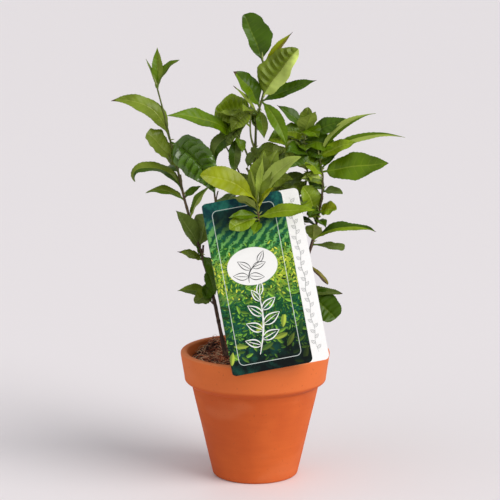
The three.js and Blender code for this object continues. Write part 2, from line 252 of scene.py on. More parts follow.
clear_selection()
bpy.ops.mesh.primitive_circle_add(vertices=64, radius=FLOOR_RADIUS, fill_type="NGON")
floor = bpy.context.object
floor.name = "studio_floor"
floor_finish = Finish("pale_floor", paint(236, 231, 234), 0.5, Specular_IOR_Level=0.25)
floor.data.materials.append(floor_finish.material)

world = bpy.data.worlds.new("white_room")
bpy.context.scene.world = world
world.use_nodes = True
backdrop = world.node_tree.nodes["Background"].inputs
backdrop["Color"].default_value = ROOM_COLOUR
backdrop["Strength"].default_value = ROOM_STRENGTH
print("floor:", FLOOR_RADIUS, "m in radius, room light:", ROOM_STRENGTH)

# %% [markdown]
# A wide, low-contrast sun stands for the big soft box at the upper right: unlike a lamp close by, it lights
# the floor evenly, and it makes the right side of the pot warmer and lighter. A weak one at the upper left
# opens the shadows.


# %% Soft boxes
def add_sun(name, place, strength, spread, tint):
    """A sun that shines from a place towards the origin, as soft as the angle it spreads over."""
    bpy.ops.object.light_add(type="SUN", location=place)
    sun = bpy.context.object
    sun.name = name
    sun.data.energy = strength
    sun.data.angle = math.radians(spread)
    sun.data.color = tint
    sun.rotation_euler = Vector(place).to_track_quat("Z", "Y").to_euler()
    print(name, "strength", strength, "spread over", spread, "degrees")


add_sun("soft_box", (1.6, -0.9, 1.25), 2.5, 45, (1.0, 0.98, 0.95))
add_sun("second_box", (-1.5, -0.9, 1.5), 0.3, 60, (0.98, 0.99, 1.0))

# %% [markdown]
# ## The clay pot
# A clay pot is pressed on a wheel, so it is the same all round: a tapering body, a thick collar with a
# round lip, and a wall nearly six millimetres thick. Its height and its rim are those of the solid. Heights
# are measured from the floor, and radii from the pot's axis.

# %% Pot sizes
pot_low, pot_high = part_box("pot")
POT_HEIGHT = pot_high.z
RIM_RADIUS = (pot_high.x - pot_low.x) / 2
POT_WALL = 5.6 * MM
POT_FLOOR = 8 * MM
BASE_RADIUS = 37.5 * MM
BODY_TOP_RADIUS = 55 * MM
COLLAR_FOOT = POT_HEIGHT - 25 * MM
COLLAR_FOOT_RADIUS = RIM_RADIUS - 3.3 * MM
SHOULDER = 6 * MM  # the body ends this far under the collar
LIP = 2.2 * MM  # the radius that rounds each edge of the rim


def blend_numbers(a, b, share):
    return a + (b - a) * share


def pot_inner_radius(height):
    share = (height - POT_FLOOR) / (POT_HEIGHT - POT_FLOOR)
    return blend_numbers(BASE_RADIUS - POT_WALL + 2 * MM, RIM_RADIUS - POT_WALL, share)


def round_corner(centre_radius, centre_height, radius, start, stop, steps):
    """Rings along a quarter round, as (radius, height), from one angle to another."""
    angles = np.radians(np.linspace(start, stop, steps))
    return [(centre_radius + radius * math.cos(a), centre_height + radius * math.sin(a)) for a in angles]


def straight_rings(start, stop, steps):
    return [tuple(blend_numbers(np.array(start), np.array(stop), i / steps)) for i in range(1, steps)]


print(f"pot: {POT_HEIGHT / MM:.0f} mm high, {2 * RIM_RADIUS / MM:.0f} mm across the rim")

# %% [markdown]
# The pot's outline is a row of rings, each a radius at a height. It goes up the body, round the collar's
# foot, up to the lip and over it, and down inside as far as the floor.

# %% Outline of the pot
FOOT_ROUND = 2.5 * MM
NECK_ROUND = 1.6 * MM
COLLAR_ROUND = 3.6 * MM
COLLAR_MIDDLE = (COLLAR_FOOT_RADIUS - 3.4 * MM, COLLAR_FOOT + 1.2 * MM)  # of the rounding under the collar


def pot_profile():
    foot = round_corner(BASE_RADIUS - FOOT_ROUND, FOOT_ROUND, FOOT_ROUND, -90, -12, 6)
    body_top = (BODY_TOP_RADIUS, COLLAR_FOOT - SHOULDER)
    neck = round_corner(BODY_TOP_RADIUS + NECK_ROUND, COLLAR_FOOT - SHOULDER, NECK_ROUND, 180, 100, 5)
    under = round_corner(*COLLAR_MIDDLE, COLLAR_ROUND, -62, 0, 7)
    lip_out = round_corner(RIM_RADIUS - LIP, POT_HEIGHT - LIP, LIP, 0, 90, 7)
    lip_in = round_corner(RIM_RADIUS - POT_WALL + LIP, POT_HEIGHT - LIP, LIP, 90, 180, 7)
    floor_edge = POT_FLOOR + 3 * MM
    inside_foot = (pot_inner_radius(floor_edge), floor_edge)
    rings = foot + straight_rings(foot[-1], body_top, 24) + neck + under
    rings += straight_rings(under[-1], lip_out[0], 8) + lip_out + lip_in
    rings += straight_rings(lip_in[-1], inside_foot, 16) + [inside_foot]
    return rings + [(pot_inner_radius(POT_FLOOR) - 3 * MM, POT_FLOOR)]


pot_rings = pot_profile()
print("the pot's outline:", len(pot_rings), "rings")

# %% [markdown]
# It is modelled the way a potter opens a lump of clay. A disc is extruded up ring by ring, wider for the
# collar and then in over the lip, and at last pushed down inside. Its outline could be spun instead, but a
# spin leaves a seam to merge, and extruded rings are closed from the start.


# %% Raise the pot
def raise_rings(name, rings, sides):
    """A round piece: its bottom disc is extruded up through the rings, and its last ring stays capped."""
    clear_selection()
    radius, height = rings[0]
    bpy.ops.mesh.primitive_circle_add(vertices=sides, radius=radius, fill_type="NGON",
                                      location=(0, 0, height))
    piece = bpy.context.object
    piece.name = name
    place_here(piece)
    start_edit(piece)
    bpy.ops.mesh.select_mode(type="FACE")
    bpy.ops.mesh.select_all(action="SELECT")
    for next_radius, next_height in rings[1:]:
        rise = (0, 0, next_height - height)
        bpy.ops.mesh.extrude_region_move(TRANSFORM_OT_translate={"value": rise})
        grow = next_radius / radius
        bpy.ops.transform.resize(value=(grow, grow, 1), center_override=(0, 0, next_height))
        radius, height = next_radius, next_height
    bpy.ops.mesh.select_all(action="SELECT")
    bpy.ops.mesh.normals_make_consistent(inside=False)
    end_edit()
    bpy.ops.object.shade_smooth_by_angle(angle=math.radians(50))
    return piece


clay_pot = raise_rings("clay_pot", pot_rings, 144)
print("clay pot:", len(clay_pot.data.vertices), "points")

# %% [markdown]
# Pressed clay is never dead true. Above the foot a slow noise and a quick one move each point in or out
# from the axis, by a few tenths of a millimetre. A displace modifier could do it too, but it would have to
# be kept off the flat foot.

# %% Waver the clay
SLOW_WAVER = 0.30  # millimetres at the rim
QUICK_WAVER = 0.10

points = read_points(clay_pot.data)
true_points = points.copy()
for point in points:
    if point[2] > 1 * MM:
        slow = noise.noise(Vector(point) * 38)
        quick = noise.noise(Vector((point[0] * 160, point[1] * 160, point[2] * 420)))
        swell = 1 + (SLOW_WAVER * slow + QUICK_WAVER * quick) * MM / RIM_RADIUS
        point[:2] *= swell
write_points(clay_pot.data, points)
print(f"the clay wavers by up to {np.abs(points - true_points).max() / MM:.2f} mm")

# %% [markdown]
# Fired clay is dull, with a fine grain that scatters light. The colour drifts a little from orange to
# brown, and water has dried in paler blooms on the body. The collar is painted lighter and the top of the
# lip lighter still: painted light and a painted highlight, where the soft box falls on them. A picture
# could be wrapped round the pot instead. A pattern that is worked out from the place in space has no seam,
# and it stays sharp from close by.

# %% Clay finish
clay = Finish("fired_clay", paint(198, 92, 40), 0.72, Specular_IOR_Level=0.2)
place = clay.object_place()
drift = clay.clouds(place, 16, 3)
bands = clay.clouds(clay.object_place((1, 1, 9)), 22, 5)
grain = clay.clouds(place, 900, 3)
bloom = clay.span(clay.clouds(clay.object_place((1, 1, 1.4)), 21, 2, 0.4), 0.56, 0.68)
speck = clay.span(clay.clouds(place, 420, 2), 0.66, 0.74)
level = clay.add("SeparateXYZ", Vector=place).outputs["Z"]
# Painted light: the collar is painted lighter, and the top of the lip is a painted highlight.
painted_collar_light = clay.span(level, COLLAR_FOOT - 1 * MM, COLLAR_FOOT + 2 * MM, 0, 0.5)
painted_lip_highlight = clay.span(level, POT_HEIGHT - 2.2 * MM, POT_HEIGHT - 0.6 * MM, 0, 0.45)
body = clay.mix(clay.span(drift, 0.35, 0.65), paint(196, 88, 36), paint(208, 100, 44))
body = clay.mix(clay.span(bands, 0.3, 0.7, 0.0, 0.22), body, paint(184, 78, 32))
body = clay.mix(clay.math("MULTIPLY", bloom, 0.22), body, paint(216, 128, 84))
# painted light on the collar, then a painted highlight on the top of the lip
body = clay.mix(painted_collar_light, body, paint(232, 126, 66))
body = clay.mix(painted_lip_highlight, body, paint(232, 146, 98))
body = clay.mix(clay.math("MULTIPLY", speck, 0.35), body, paint(150, 70, 40))
clay.colour(body)
clay.gloss(clay.span(drift, 0.3, 0.7, 0.64, 0.80))
clay.relief(clay.mix(0.35, grain, bands), 0.00018, 0.6)
clay_pot.data.materials.append(clay.material)
hand_over(clay_pot, "clay", "pot")

# %% [markdown]
# ## The soil
# The pot is filled with moist coir: brown crumbs, matted with the fine reddish fibres of coconut husk. The
# bed is one round piece, raised ring by ring as the pot was, and roughened with noise. Crumbs and fibres
# lie on it as their own joined pieces. Single grains all through would take millions of faces, and from a
# metre away the eye can't tell.

# %% Soil bed
soil_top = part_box("soil")[1].z
SOIL_EDGE = 101 * MM
SOIL_CROWN = soil_top + 1 * MM
HEAP = (-35 * MM, 33 * MM, 13 * MM, 9 * MM)  # across, back, reach and height of the heap of loose coir
SOIL_RADIUS = pot_inner_radius(SOIL_EDGE) - 0.3 * MM
BROAD_LUMPS = 1.5  # millimetres
FINE_LUMPS = 0.9
BED_RINGS = 44


def soil_level(x, y):
    """Height of the bed's surface: a low mound with one heap, broad lumps and fine ones."""
    reach = min(1.0, math.hypot(x, y) / SOIL_RADIUS)
    level = blend_numbers(SOIL_CROWN - 1.0 * MM, SOIL_EDGE, reach * reach)
    heap_x, heap_y, heap_reach, heap_height = HEAP
    level += heap_height * math.exp(-math.hypot(x - heap_x, y - heap_y) ** 2 / heap_reach ** 2)
    broad = noise.noise(Vector((x, y, 0)) * 95) * BROAD_LUMPS
    fine = noise.noise(Vector((x, y, 0.3)) * 260) * FINE_LUMPS
    return level + (broad + fine) * MM * (1.1 - 0.5 * reach)


foot_radius = pot_inner_radius(POT_FLOOR + 3 * MM) - 0.5 * MM
soil_rings = [(foot_radius, POT_FLOOR + 0.4 * MM), (SOIL_RADIUS, SOIL_EDGE)]
soil_rings += [(SOIL_RADIUS * (1 - i / BED_RINGS), SOIL_EDGE + i * 0.05 * MM) for i in range(1, BED_RINGS)]
soil_bed = raise_rings("soil_bed", soil_rings, 120)
points = read_points(soil_bed.data)
for point in points:
    if point[2] > SOIL_EDGE - 1 * MM:
        point[2] = soil_level(point[0], point[1])
write_points(soil_bed.data, points)
print(f"soil: {SOIL_EDGE / MM:.0f} mm up at its edge, {SOIL_CROWN / MM:.0f} mm in the middle")

# %% [markdown]
# Moist coir is nearly black between its crumbs and a warm brown on them, with darker, wetter patches.

# %% Soil finish
coir = Finish("moist_coir", paint(62, 38, 26), 0.9, Specular_IOR_Level=0.3)
place = coir.object_place()
crumbs = coir.clouds(place, 340, 5, 0.7)
patches = coir.clouds(place, 70, 3)
ground = coir.mix(coir.span(crumbs, 0.38, 0.64), paint(20, 10, 6), paint(84, 46, 28))
ground = coir.mix(coir.span(patches, 0.4, 0.7, 0, 0.5), ground, paint(26, 13, 8))
coir.colour(ground)
coir.relief(crumbs, 0.0011, 0.9)
soil_bed.data.materials.append(coir.material)
hand_over(soil_bed, "soil", "soil")

# %% [markdown]
# ## Many small things from arrays
# Fibres, buds, crumbs and leaves come in hundreds. Each kind is worked out as plain arrays of points and
# faces and joined into one mesh, so that nothing depends on particles or instances.

# %% Gather small shapes
NO_CORNER = -1  # stands in a triangle for the fourth corner that it lacks


class Gatherer:
    """Collects the points and faces of many small shapes, and makes one mesh of them."""

    def __init__(self):
        self.points, self.faces, self.finish, self.maps = [], [], [], []
        self.count = 0

    def add(self, points, faces, finish=0, maps=None):
        self.points.append(points)
        faces = np.asarray(faces)
        self.faces.append(np.where(faces == NO_CORNER, NO_CORNER, faces + self.count))
        self.finish.append(np.broadcast_to(finish, len(faces)))
        self.maps.append(maps)
        self.count += len(points)

    def build(self, name, materials, map_names=()):
        mesh = bpy.data.meshes.new(name)
        faces = [face[face != NO_CORNER].tolist() for face in np.concatenate(self.faces)]
        mesh.from_pydata(np.concatenate(self.points), [], faces)
        for material in materials:
            mesh.materials.append(material)
        mesh.polygons.foreach_set("material_index", np.concatenate(self.finish).astype(np.int32))
        corner = np.empty(len(mesh.loops), np.int32)
        mesh.loops.foreach_get("vertex_index", corner)
        for i, map_name in enumerate(map_names):
            layer = mesh.uv_layers.new(name=map_name)
            coordinates = np.concatenate([m[i] for m in self.maps])
            layer.uv.foreach_set("vector", coordinates[corner].astype(np.float32).ravel())
        piece = bpy.data.objects.new(name, mesh)
        bpy.context.scene.collection.objects.link(piece)
        take(piece)
        bpy.ops.object.shade_smooth_by_angle(angle=math.radians(55))
        print(f"{name}: {len(self.points)} small shapes joined")
        return piece


# %% [markdown]
# Fibres, buds, twigs and pen strokes are all tubes: rings of points round a path, closed by a fan at each
# end.


# %% Tubes
def tube_faces(sides, rings):
    """Faces of a closed tube of rings. Its two ends are fans round an end point each."""
    faces = []
    for r in range(rings - 1):
        for k in range(sides):
            a, b = r * sides + k, r * sides + (k + 1) % sides
            faces.append((a, b, b + sides, a + sides))
    foot, tip, last = rings * sides, rings * sides + 1, (rings - 1) * sides
    for k in range(sides):
        faces.append((foot, (k + 1) % sides, k, NO_CORNER))
        faces.append((tip, last + k, last + (k + 1) % sides, NO_CORNER))
    return faces


def tube_points(path, radii, sides):
    """Rings of points round a path, square to its run, then the two end points."""
    path = np.asarray(path, float)
    run = np.gradient(path, axis=0)
    run /= np.linalg.norm(run, axis=1)[:, None]
    level = np.cross(run, (0.37, 0.93, 0.05))
    level /= np.linalg.norm(level, axis=1)[:, None]
    rise = np.cross(run, level)
    turn = np.arange(sides) * 2 * math.pi / sides
    ring = level[:, None] * np.cos(turn)[:, None] + rise[:, None] * np.sin(turn)[:, None]
    points = path[:, None] + ring * np.asarray(radii)[:, None, None]
    return np.concatenate([points.reshape(-1, 3), path[:1], path[-1:]])


print("a tube of three sides and nine rings has", len(tube_faces(3, 9)), "faces")

# %% [markdown]
# Each fibre is a thin curl that starts on the bed, wanders and settles again, so most of it lies flat and a
# few loops stand free. Four browns are dealt out by fibre, each worn darker in places.

# %% Fibre finishes
FIBRE_BROWNS = [paint(198, 112, 70), paint(136, 62, 32), paint(244, 198, 160), paint(60, 28, 16)]
BROWN_SHARES = [0.34, 0.26, 0.26, 0.14]
fibre_finishes = []
for i, brown in enumerate(FIBRE_BROWNS):
    finish = Finish(f"coir_fibre_{i}", brown, 0.7)
    worn = finish.span(finish.clouds(finish.object_place(), 900, 2), 0.4, 0.8, 0, 0.6)
    finish.colour(finish.mix(worn, brown, paint(70, 42, 30)))
    fibre_finishes.append(finish.material)
print("browns of the fibres:", len(fibre_finishes))

# %% [markdown]
# A fibre or a crumb may lie anywhere on the bed, as likely near the wall as in the middle. A fibre stops
# where it meets the wall, and one that meets it at once is left out.

# %% Coir fibres
FIBRES = 1300
FIBRE_STEPS = 9
FEWEST_STEPS = 5
BED_SHARE = 0.97  # of the bed's radius, where fibres and crumbs may lie
WALL_SHARE = 0.985  # where a fibre meets the wall
chance = np.random.default_rng(7)


def place_on_bed():
    angle = chance.uniform(0, 2 * math.pi)
    reach = SOIL_RADIUS * math.sqrt(chance.uniform(0, 1)) * BED_SHARE
    return reach * math.cos(angle), reach * math.sin(angle)


def fibre_path(length, steps):
    x, y = place_on_bed()
    heading = chance.uniform(0, 2 * math.pi)
    bend = chance.normal(0, 1.9)
    lift = abs(chance.normal(0, 1.3)) * MM
    path = []
    for i in range(steps):
        share = i / (steps - 1)
        if math.hypot(x, y) > SOIL_RADIUS * WALL_SHARE:
            break
        arch = math.sin(math.pi * share) * lift * 2
        path.append((x, y, soil_level(x, y) + 0.3 * MM + arch))
        heading += bend / steps * 2 + chance.normal(0, 0.16)
        x += math.cos(heading) * length / steps
        y += math.sin(heading) * length / steps
    return path


fibres = Gatherer()
for _ in range(FIBRES):
    path = fibre_path(chance.uniform(7, 26) * MM, FIBRE_STEPS)
    if len(path) < FEWEST_STEPS:
        continue
    thick = chance.uniform(0.18, 0.36) * MM * chance.choice([1, 1.4], p=[0.7, 0.3])
    radii = thick * np.linspace(1, 0.5, len(path))
    kind = chance.choice(4, p=BROWN_SHARES)
    fibres.add(tube_points(path, radii, 3), tube_faces(3, len(path)), kind)
coir_fibres = fibres.build("coir_fibres", fibre_finishes)
hand_over(coir_fibres, "soil")

# %% [markdown]
# Between the fibres lie crumbs of peat and chips of bark: lumps with eight faces each, stretched and turned
# by chance, and sunk to half their height.

# %% Crumbs
CRUMB_FACES = [(4, 0, 1), (4, 1, 2), (4, 2, 3), (4, 3, 0), (5, 1, 0), (5, 2, 1), (5, 3, 2), (5, 0, 3)]
CRUMB_POINTS = np.array([(1, 0, 0), (0, 1, 0), (-1, 0, 0), (0, -1, 0), (0, 0, 0.7), (0, 0, -0.7)])
CRUMB_BROWNS = [paint(40, 22, 14), paint(88, 50, 32)]
CRUMBS = 1400

crumbs = Gatherer()
for _ in range(CRUMBS):
    x, y = place_on_bed()
    size = chance.uniform(0.4, 1.5) * MM * chance.uniform(0.6, 1.4, 3)
    turn = Matrix.Rotation(chance.uniform(0, 2 * math.pi), 3, "Z")
    turn = turn @ Matrix.Rotation(chance.normal(0, 0.5), 3, "X")
    lump = CRUMB_POINTS * size * chance.uniform(0.75, 1.25, (6, 1))
    crumbs.add(lump @ np.array(turn).T + (x, y, soil_level(x, y)), CRUMB_FACES, chance.integers(2))
crumb_finishes = []
for i, brown in enumerate(CRUMB_BROWNS):
    finish = Finish(f"peat_crumb_{i}", brown, 0.9)
    finish.colour(finish.mix(finish.clouds(finish.object_place(), 700, 3), brown, paint(30, 20, 16)))
    crumb_finishes.append(finish.material)
soil_crumbs = crumbs.build("soil_crumbs", crumb_finishes)
hand_over(soil_crumbs, "soil")

# %% [markdown]
# ## Where the limbs run
# Each stem was built as a tapering solid. A level cut through such a solid is a small ring, and the rings'
# middles, from foot to tip, give back the line that the stem follows. Everything that grows is hung on
# those lines. They could be stated here again, but lines that are read from the solids can't disagree with
# them.

# %% Read the limbs
FOOT_CUT = 2.5 * MM  # the first cut lies this far above the solid's lowest point
TIP_CUT = 1.2 * MM  # the last one lies this far under its highest
CUT_SPACING = 3 * MM


class Limb:
    """The centre line and the radius of a stem or bough, read from level cuts through its solid.

    Its foot is sunk a little further, into the soil or into the stem that it leaves.
    """

    def __init__(self, node, sink):
        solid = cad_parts[node].data
        solid.calc_loop_triangles()
        corners = read_points(solid)[[t.vertices[:] for t in solid.loop_triangles]]
        low, high = corners[..., 2].min(), corners[..., 2].max()
        levels = np.arange(low + FOOT_CUT, high - TIP_CUT, CUT_SPACING)
        rows = np.array([self.cut(corners, level) for level in levels])
        foot, tip = rows[0], rows[-1]
        down = (rows[0] - rows[1])[:3] / np.linalg.norm((rows[0] - rows[1])[:3])
        up = (rows[-1] - rows[-2])[:3] / np.linalg.norm((rows[-1] - rows[-2])[:3])
        self.line = np.vstack([foot[:3] + down * (FOOT_CUT + sink), rows[:, :3], tip[:3] + up * TIP_CUT])
        self.radius = np.concatenate([foot[3:], rows[:, 3], tip[3:]])
        steps = np.linalg.norm(np.diff(self.line, axis=0), axis=1)
        self.along = np.concatenate([[0], np.cumsum(steps)])
        self.length = self.along[-1]

    @staticmethod
    def cut(corners, level):
        """Middle and radius of the ring where the solid's triangles cross a level."""
        ring = []
        for a, b in ((0, 1), (1, 2), (2, 0)):
            above = corners[:, a, 2] - level
            below = corners[:, b, 2] - level
            crossed = above * below < 0
            share = (above / (above - below + 1e-12))[crossed, None]
            ring.append(blend_numbers(corners[crossed, a], corners[crossed, b], share))
        ring = np.concatenate(ring)
        size = np.ptp(ring[:, :2], axis=0)
        middle = (ring.min(axis=0) + ring.max(axis=0)) / 2
        return [middle[0], middle[1], level, size.min() / 2]

    def at(self, distance):
        return np.array([np.interp(distance, self.along, self.line[:, i]) for i in range(3)]).T

    def girth(self, distance):
        return np.interp(distance, self.along, self.radius)

    def find(self, height):
        """Distance along the limb at which it reaches a height, given in millimetres."""
        return float(np.interp(height * MM, self.line[:, 2], self.along))


print("points on the left stem's line:", len(Limb("left_stem", 0).line))

# %% [markdown]
# Six stems stand in the soil, and two boughs and a shoot leave the centre stem.

# %% Stems and boughs by name
STEMS = ["left_stem", "middle_stem", "centre_stem", "right_stem", "inner_stem", "back_stem"]
BOUGHS = ["front_bough", "left_bough", "centre_shoot"]
limbs = {name: Limb(name, 4 * MM) for name in STEMS}
limbs.update({name: Limb(name, 1.5 * MM) for name in BOUGHS})
for name, limb in limbs.items():
    thick, thin = limb.radius.max() / MM, limb.radius.min() / MM
    print(f"{name}: {limb.length / MM:.0f} mm long, {thick:.1f} to {thin:.1f} mm")

# %% [markdown]
# ## Stems and boughs
# A young tea stem is round, brown and finely cracked near the soil, and smooth and green where it grew this
# year. It swells where a leaf sits or once sat. Ridges, cracks and swellings are shares of the radius.

# %% Ridges and swellings
RIDGES = 0.16
CRACKS = 0.09
YOUNG_RIDGES = 0.02
JOINT_SPACING = 17 * MM  # a swelling where an old leaf fell, this far apart
JOINT_REACH = 1.5 * MM
JOINT_SWELL = 0.17


def bark_relief(along, turn, seed, age):
    """How far the bark stands out, as a share of the radius. Old wood is ridged lengthwise."""
    round_it = Vector((math.cos(turn), math.sin(turn), 0)) * 2.2
    ridges = noise.noise(round_it * 1.6 + Vector((seed, 0, along / MM * 0.16)))
    cracks = noise.noise(round_it * 3.0 + Vector((0, seed, along / MM * 0.55)))
    return age * (RIDGES * ridges + CRACKS * cracks) + YOUNG_RIDGES * ridges


def joint_swelling(along):
    """The ring-like swelling at each old leaf scar."""
    off = (along / JOINT_SPACING) % 1 - 0.5
    return JOINT_SWELL * math.exp(-((off * JOINT_SPACING / JOINT_REACH) ** 2))


print(f"a joint stands out by {100 * joint_swelling(JOINT_SPACING / 2):.0f} % of the radius")

# %% [markdown]
# Each limb starts as an upright cylinder that is cut into rings. The rings are then carried to the limb's
# line and shrunk to its taper, with the bark's ridges and the swellings laid on as they go. A curve with a
# round bevel is quicker, but each of its rings stays an even circle.

# %% Model a limb
LIMB_SIDES = 18
RING_SPACING = 1.0 * MM
STEM_AGEING = 0.16  # metres over which a stem's bark passes from old to young
BOUGH_AGEING = 0.03


def model_limb(name, seed):
    limb = limbs[name]
    rings = int(limb.length / RING_SPACING)
    ageing = STEM_AGEING if name in STEMS else BOUGH_AGEING
    clear_selection()
    bpy.ops.mesh.primitive_cylinder_add(vertices=LIMB_SIDES, radius=1, depth=1)
    piece = bpy.context.object
    piece.name = name + "_bark"
    start_edit(piece)
    pick("edges", lambda edge: abs(edge.verts[0].co.z - edge.verts[1].co.z) > 0.5)
    bpy.ops.mesh.subdivide(number_cuts=rings - 1)
    end_edit()
    points = read_points(piece.data)
    carried = np.empty_like(points)
    for i, (x, y, z) in enumerate(points):
        along = (z + 0.5) * limb.length
        run = limb.at(min(along + 1 * MM, limb.length)) - limb.at(max(along - 1 * MM, 0))
        run /= np.linalg.norm(run)
        level = np.cross((0, 1, 0), run)
        level /= np.linalg.norm(level)
        side = np.cross(run, level)
        turn = math.atan2(y, x)
        age = min(1, max(0, 1.15 - along / ageing))
        swell = 1 + bark_relief(along, turn, seed, age) + joint_swelling(along)
        reach = limb.girth(along) * swell
        carried[i] = limb.at(along) + (level * x + side * y) * reach
    write_points(piece.data, carried)
    take(piece)
    bpy.ops.object.shade_smooth_by_angle(angle=math.radians(60))
    return piece


limb_pieces = {name: model_limb(name, seed * 3.7) for seed, name in enumerate(STEMS + BOUGHS)}
print("limbs modelled:", len(limb_pieces))

# %% [markdown]
# Brown, streaky wood gives way to a green shoot between two heights. The border wanders with the patches
# of the bark.


# %% Bark finish
def stem_finish(name, old, young, from_height, to_height):
    finish = Finish(name, old, 0.62, Specular_IOR_Level=0.4)
    place = finish.object_place()
    height = finish.add("SeparateXYZ", Vector=place).outputs["Z"]
    streaks = finish.clouds(finish.object_place((1, 1, 0.22)), 900, 4)
    patches = finish.clouds(place, 130, 3)
    wander = finish.math("MULTIPLY", finish.math("SUBTRACT", patches, 0.5), 0.09)
    wandering = finish.math("ADD", height, wander)
    wood = finish.mix(finish.span(streaks, 0.38, 0.7), old, paint(106, 82, 62))
    wood = finish.mix(finish.span(patches, 0.5, 0.7, 0, 0.6), wood, paint(34, 22, 17))
    shoot = finish.mix(finish.span(streaks, 0.4, 0.7, 0, 0.5), young, paint(124, 136, 62))
    finish.colour(finish.mix(finish.span(wandering, from_height, to_height), wood, shoot))
    finish.relief(streaks, 0.00035, 0.7)
    return finish.material


bark = stem_finish("brown_bark", paint(62, 36, 27), paint(80, 88, 34), 0.21, 0.31)
shoot_bark = stem_finish("green_shoot", paint(104, 66, 50), paint(104, 112, 50), 0.22, 0.25)
for name, limb_piece in limb_pieces.items():
    limb_piece.data.materials.append(bark if name in STEMS else shoot_bark)
    hand_over(limb_piece, "bark" if name in STEMS else "shoot", name)

# %% [markdown]
# ## One leaf, modelled flat
# A tea leaf is a leathery blade on a short stalk. Its side veins leave the midrib at a slant, curve
# forwards, and press grooves into the upper face, so that the blade swells between them like a quilt. One
# blade is modelled flat, two units wide and one long. It starts as a grid whose rows are drawn into
# chevrons along the side veins. Every fourth row is a vein, and the rows between are raised. The sheet is
# then extruded down, which gives it an underside and closes it. How deep it goes doesn't matter, because
# the underside is laid just under the upper face when the leaf is bent. A picture of a leaf on a flat card
# is the quick way, but it looks flat in low light and has no edge.

# %% Model the flat blade
COLUMNS = 14
STALK_ROWS = 3
VEINS = 9
ROWS_PER_VEIN = 4
ROWS = STALK_ROWS + VEINS * ROWS_PER_VEIN
STALK_SHARE = 0.07  # of the whole length
CHEVRON = 0.42  # how far a row runs forward on its way to the edge, in the middle of the blade
BLADE_DEPTH = 2

clear_selection()
bpy.ops.mesh.primitive_grid_add(x_subdivisions=COLUMNS, y_subdivisions=ROWS, size=2)
flat_blade = bpy.context.object
points = read_points(flat_blade.data)
row = np.rint((points[:, 1] + 1) / 2 * ROWS)
across = points[:, 0] * (0.62 + 0.38 * np.abs(points[:, 0]))
blade_row = np.clip((row - STALK_ROWS) / (ROWS - STALK_ROWS), 0, 1)
chevron = CHEVRON * np.abs(across) ** 1.25 * blade_row * (1 - blade_row)
along = np.where(row < STALK_ROWS, row / STALK_ROWS * STALK_SHARE,
                 STALK_SHARE + (1 - STALK_SHARE) * (blade_row + chevron))
between_veins = 0.5 - 0.5 * np.cos(2 * np.pi * ((row - STALK_ROWS) % ROWS_PER_VEIN) / ROWS_PER_VEIN)
quilt = np.where(row < STALK_ROWS, 0, between_veins * np.sin(np.pi * np.abs(across) ** 0.75) ** 0.7)
write_points(flat_blade.data, np.column_stack([across, along, quilt]))
flat_blade.data.attributes.new("vein_row", "FLOAT", "POINT").data.foreach_set("value", blade_row)
start_edit(flat_blade)
bpy.ops.mesh.select_all(action="SELECT")
bpy.ops.mesh.extrude_region_move(TRANSFORM_OT_translate={"value": (0, 0, -BLADE_DEPTH)})
bpy.ops.mesh.select_all(action="SELECT")
bpy.ops.mesh.normals_make_consistent(inside=False)
end_edit()
print("flat blade:", ROWS, "rows,", VEINS, "pairs of side veins")

# %% [markdown]
# The flat blade is read once into arrays, and the model itself is put away.


# %% Read the flat blade
class Blade:
    """The flat leaf as arrays: how far across (-1 to 1) and along (0 to 1), the quilt, and which side."""

    points = read_points(flat_blade.data)
    across = points[:, 0]
    along = np.clip(points[:, 1], 0, 1)
    under = points[:, 2] < -BLADE_DEPTH / 4
    quilt = points[:, 2] + BLADE_DEPTH * under
    faces = np.array([p.vertices[:] for p in flat_blade.data.polygons])
    under_faces = under[faces].all(axis=1)
    vein_row = np.array([a.value for a in flat_blade.data.attributes["vein_row"].data])


bpy.data.objects.remove(flat_blade)
print("one leaf:", len(Blade.points), "points,", len(Blade.faces), "faces")

# %% [markdown]
# ## Bending a leaf to its place
# A leaf is then a flat blade carried along its own midrib. The midrib leaves the stem at some rise and
# droops by some angle. The blade's outline, its fold along the midrib, its quilting, its wavy edge and its
# twist are numbers too, so no two leaves need be alike. What a leaf doesn't state, it takes from the plain
# leaf. A lattice could bend one leaf by hand. Numbers bend hundreds, and each can be changed later on its
# own line.

# %% A leaf's numbers
PLAIN_LEAF = {
    "widest": 0.85,  # below 1 the widest place lies nearer the foot, above 1 nearer the tip
    "tip": 1.05,  # how slim the blade runs out at its tip
    "base": 0.9,  # and at its foot
    "lean": 0.0,  # how much wider one half is than the other
    "ragged": 0.06,  # how uneven the edge is, as a share of the width
    "fold": 12,  # degrees by which each half rises from the midrib
    "quilt": 0.4,  # millimetres between the veins, on a leaf as wide as QUILT_WIDTH
    "calm": 1.0,  # share of the quilting that the lower half keeps
    "wave": 0.7,  # millimetres at the edge, on a leaf as wide as WAVE_WIDTH
    "waves": 2.5,  # how many there are along the edge
    "twist": 0,  # degrees of roll from foot to tip
    "sweep": 0,  # degrees by which the heading turns
    "hook": 0,  # degrees of further droop near the tip
    "lower": None,  # another tint for the half that hangs lower
    "dry": None,  # share of the length at which a withered tip starts
}


def leaf(height, heading, rise, length, width, droop, roll, tint="green", **shape):
    """One leaf. It leaves its limb at a height, towards a heading (0 right, 90 back, 180 left, 270 front)."""
    habit = dict(PLAIN_LEAF, height=height, heading=heading, rise=rise, length=length, width=width,
                 droop=droop, roll=roll, tint=tint)
    habit.update(shape)
    return habit


print("numbers of a leaf:", len(leaf(0, 0, 0, 0, 0, 0, 0)))

# %% [markdown]
# The midrib is followed in small steps, each tilted a little lower than the last. The outline is a sine
# hump, slimmed or blunted towards each end, and never narrower than the stalk.

# %% Midrib and outline
MIDRIB_STEPS = 60
HOOK_START = 0.72  # share of the length at which the tip starts to hook
STALK_RADIUS = 0.75  # millimetres
TIP_RADIUS = 0.12


def smooth(low, high, value):
    share = np.clip((value - low) / (high - low), 0, 1)
    return share * share * (3 - 2 * share)


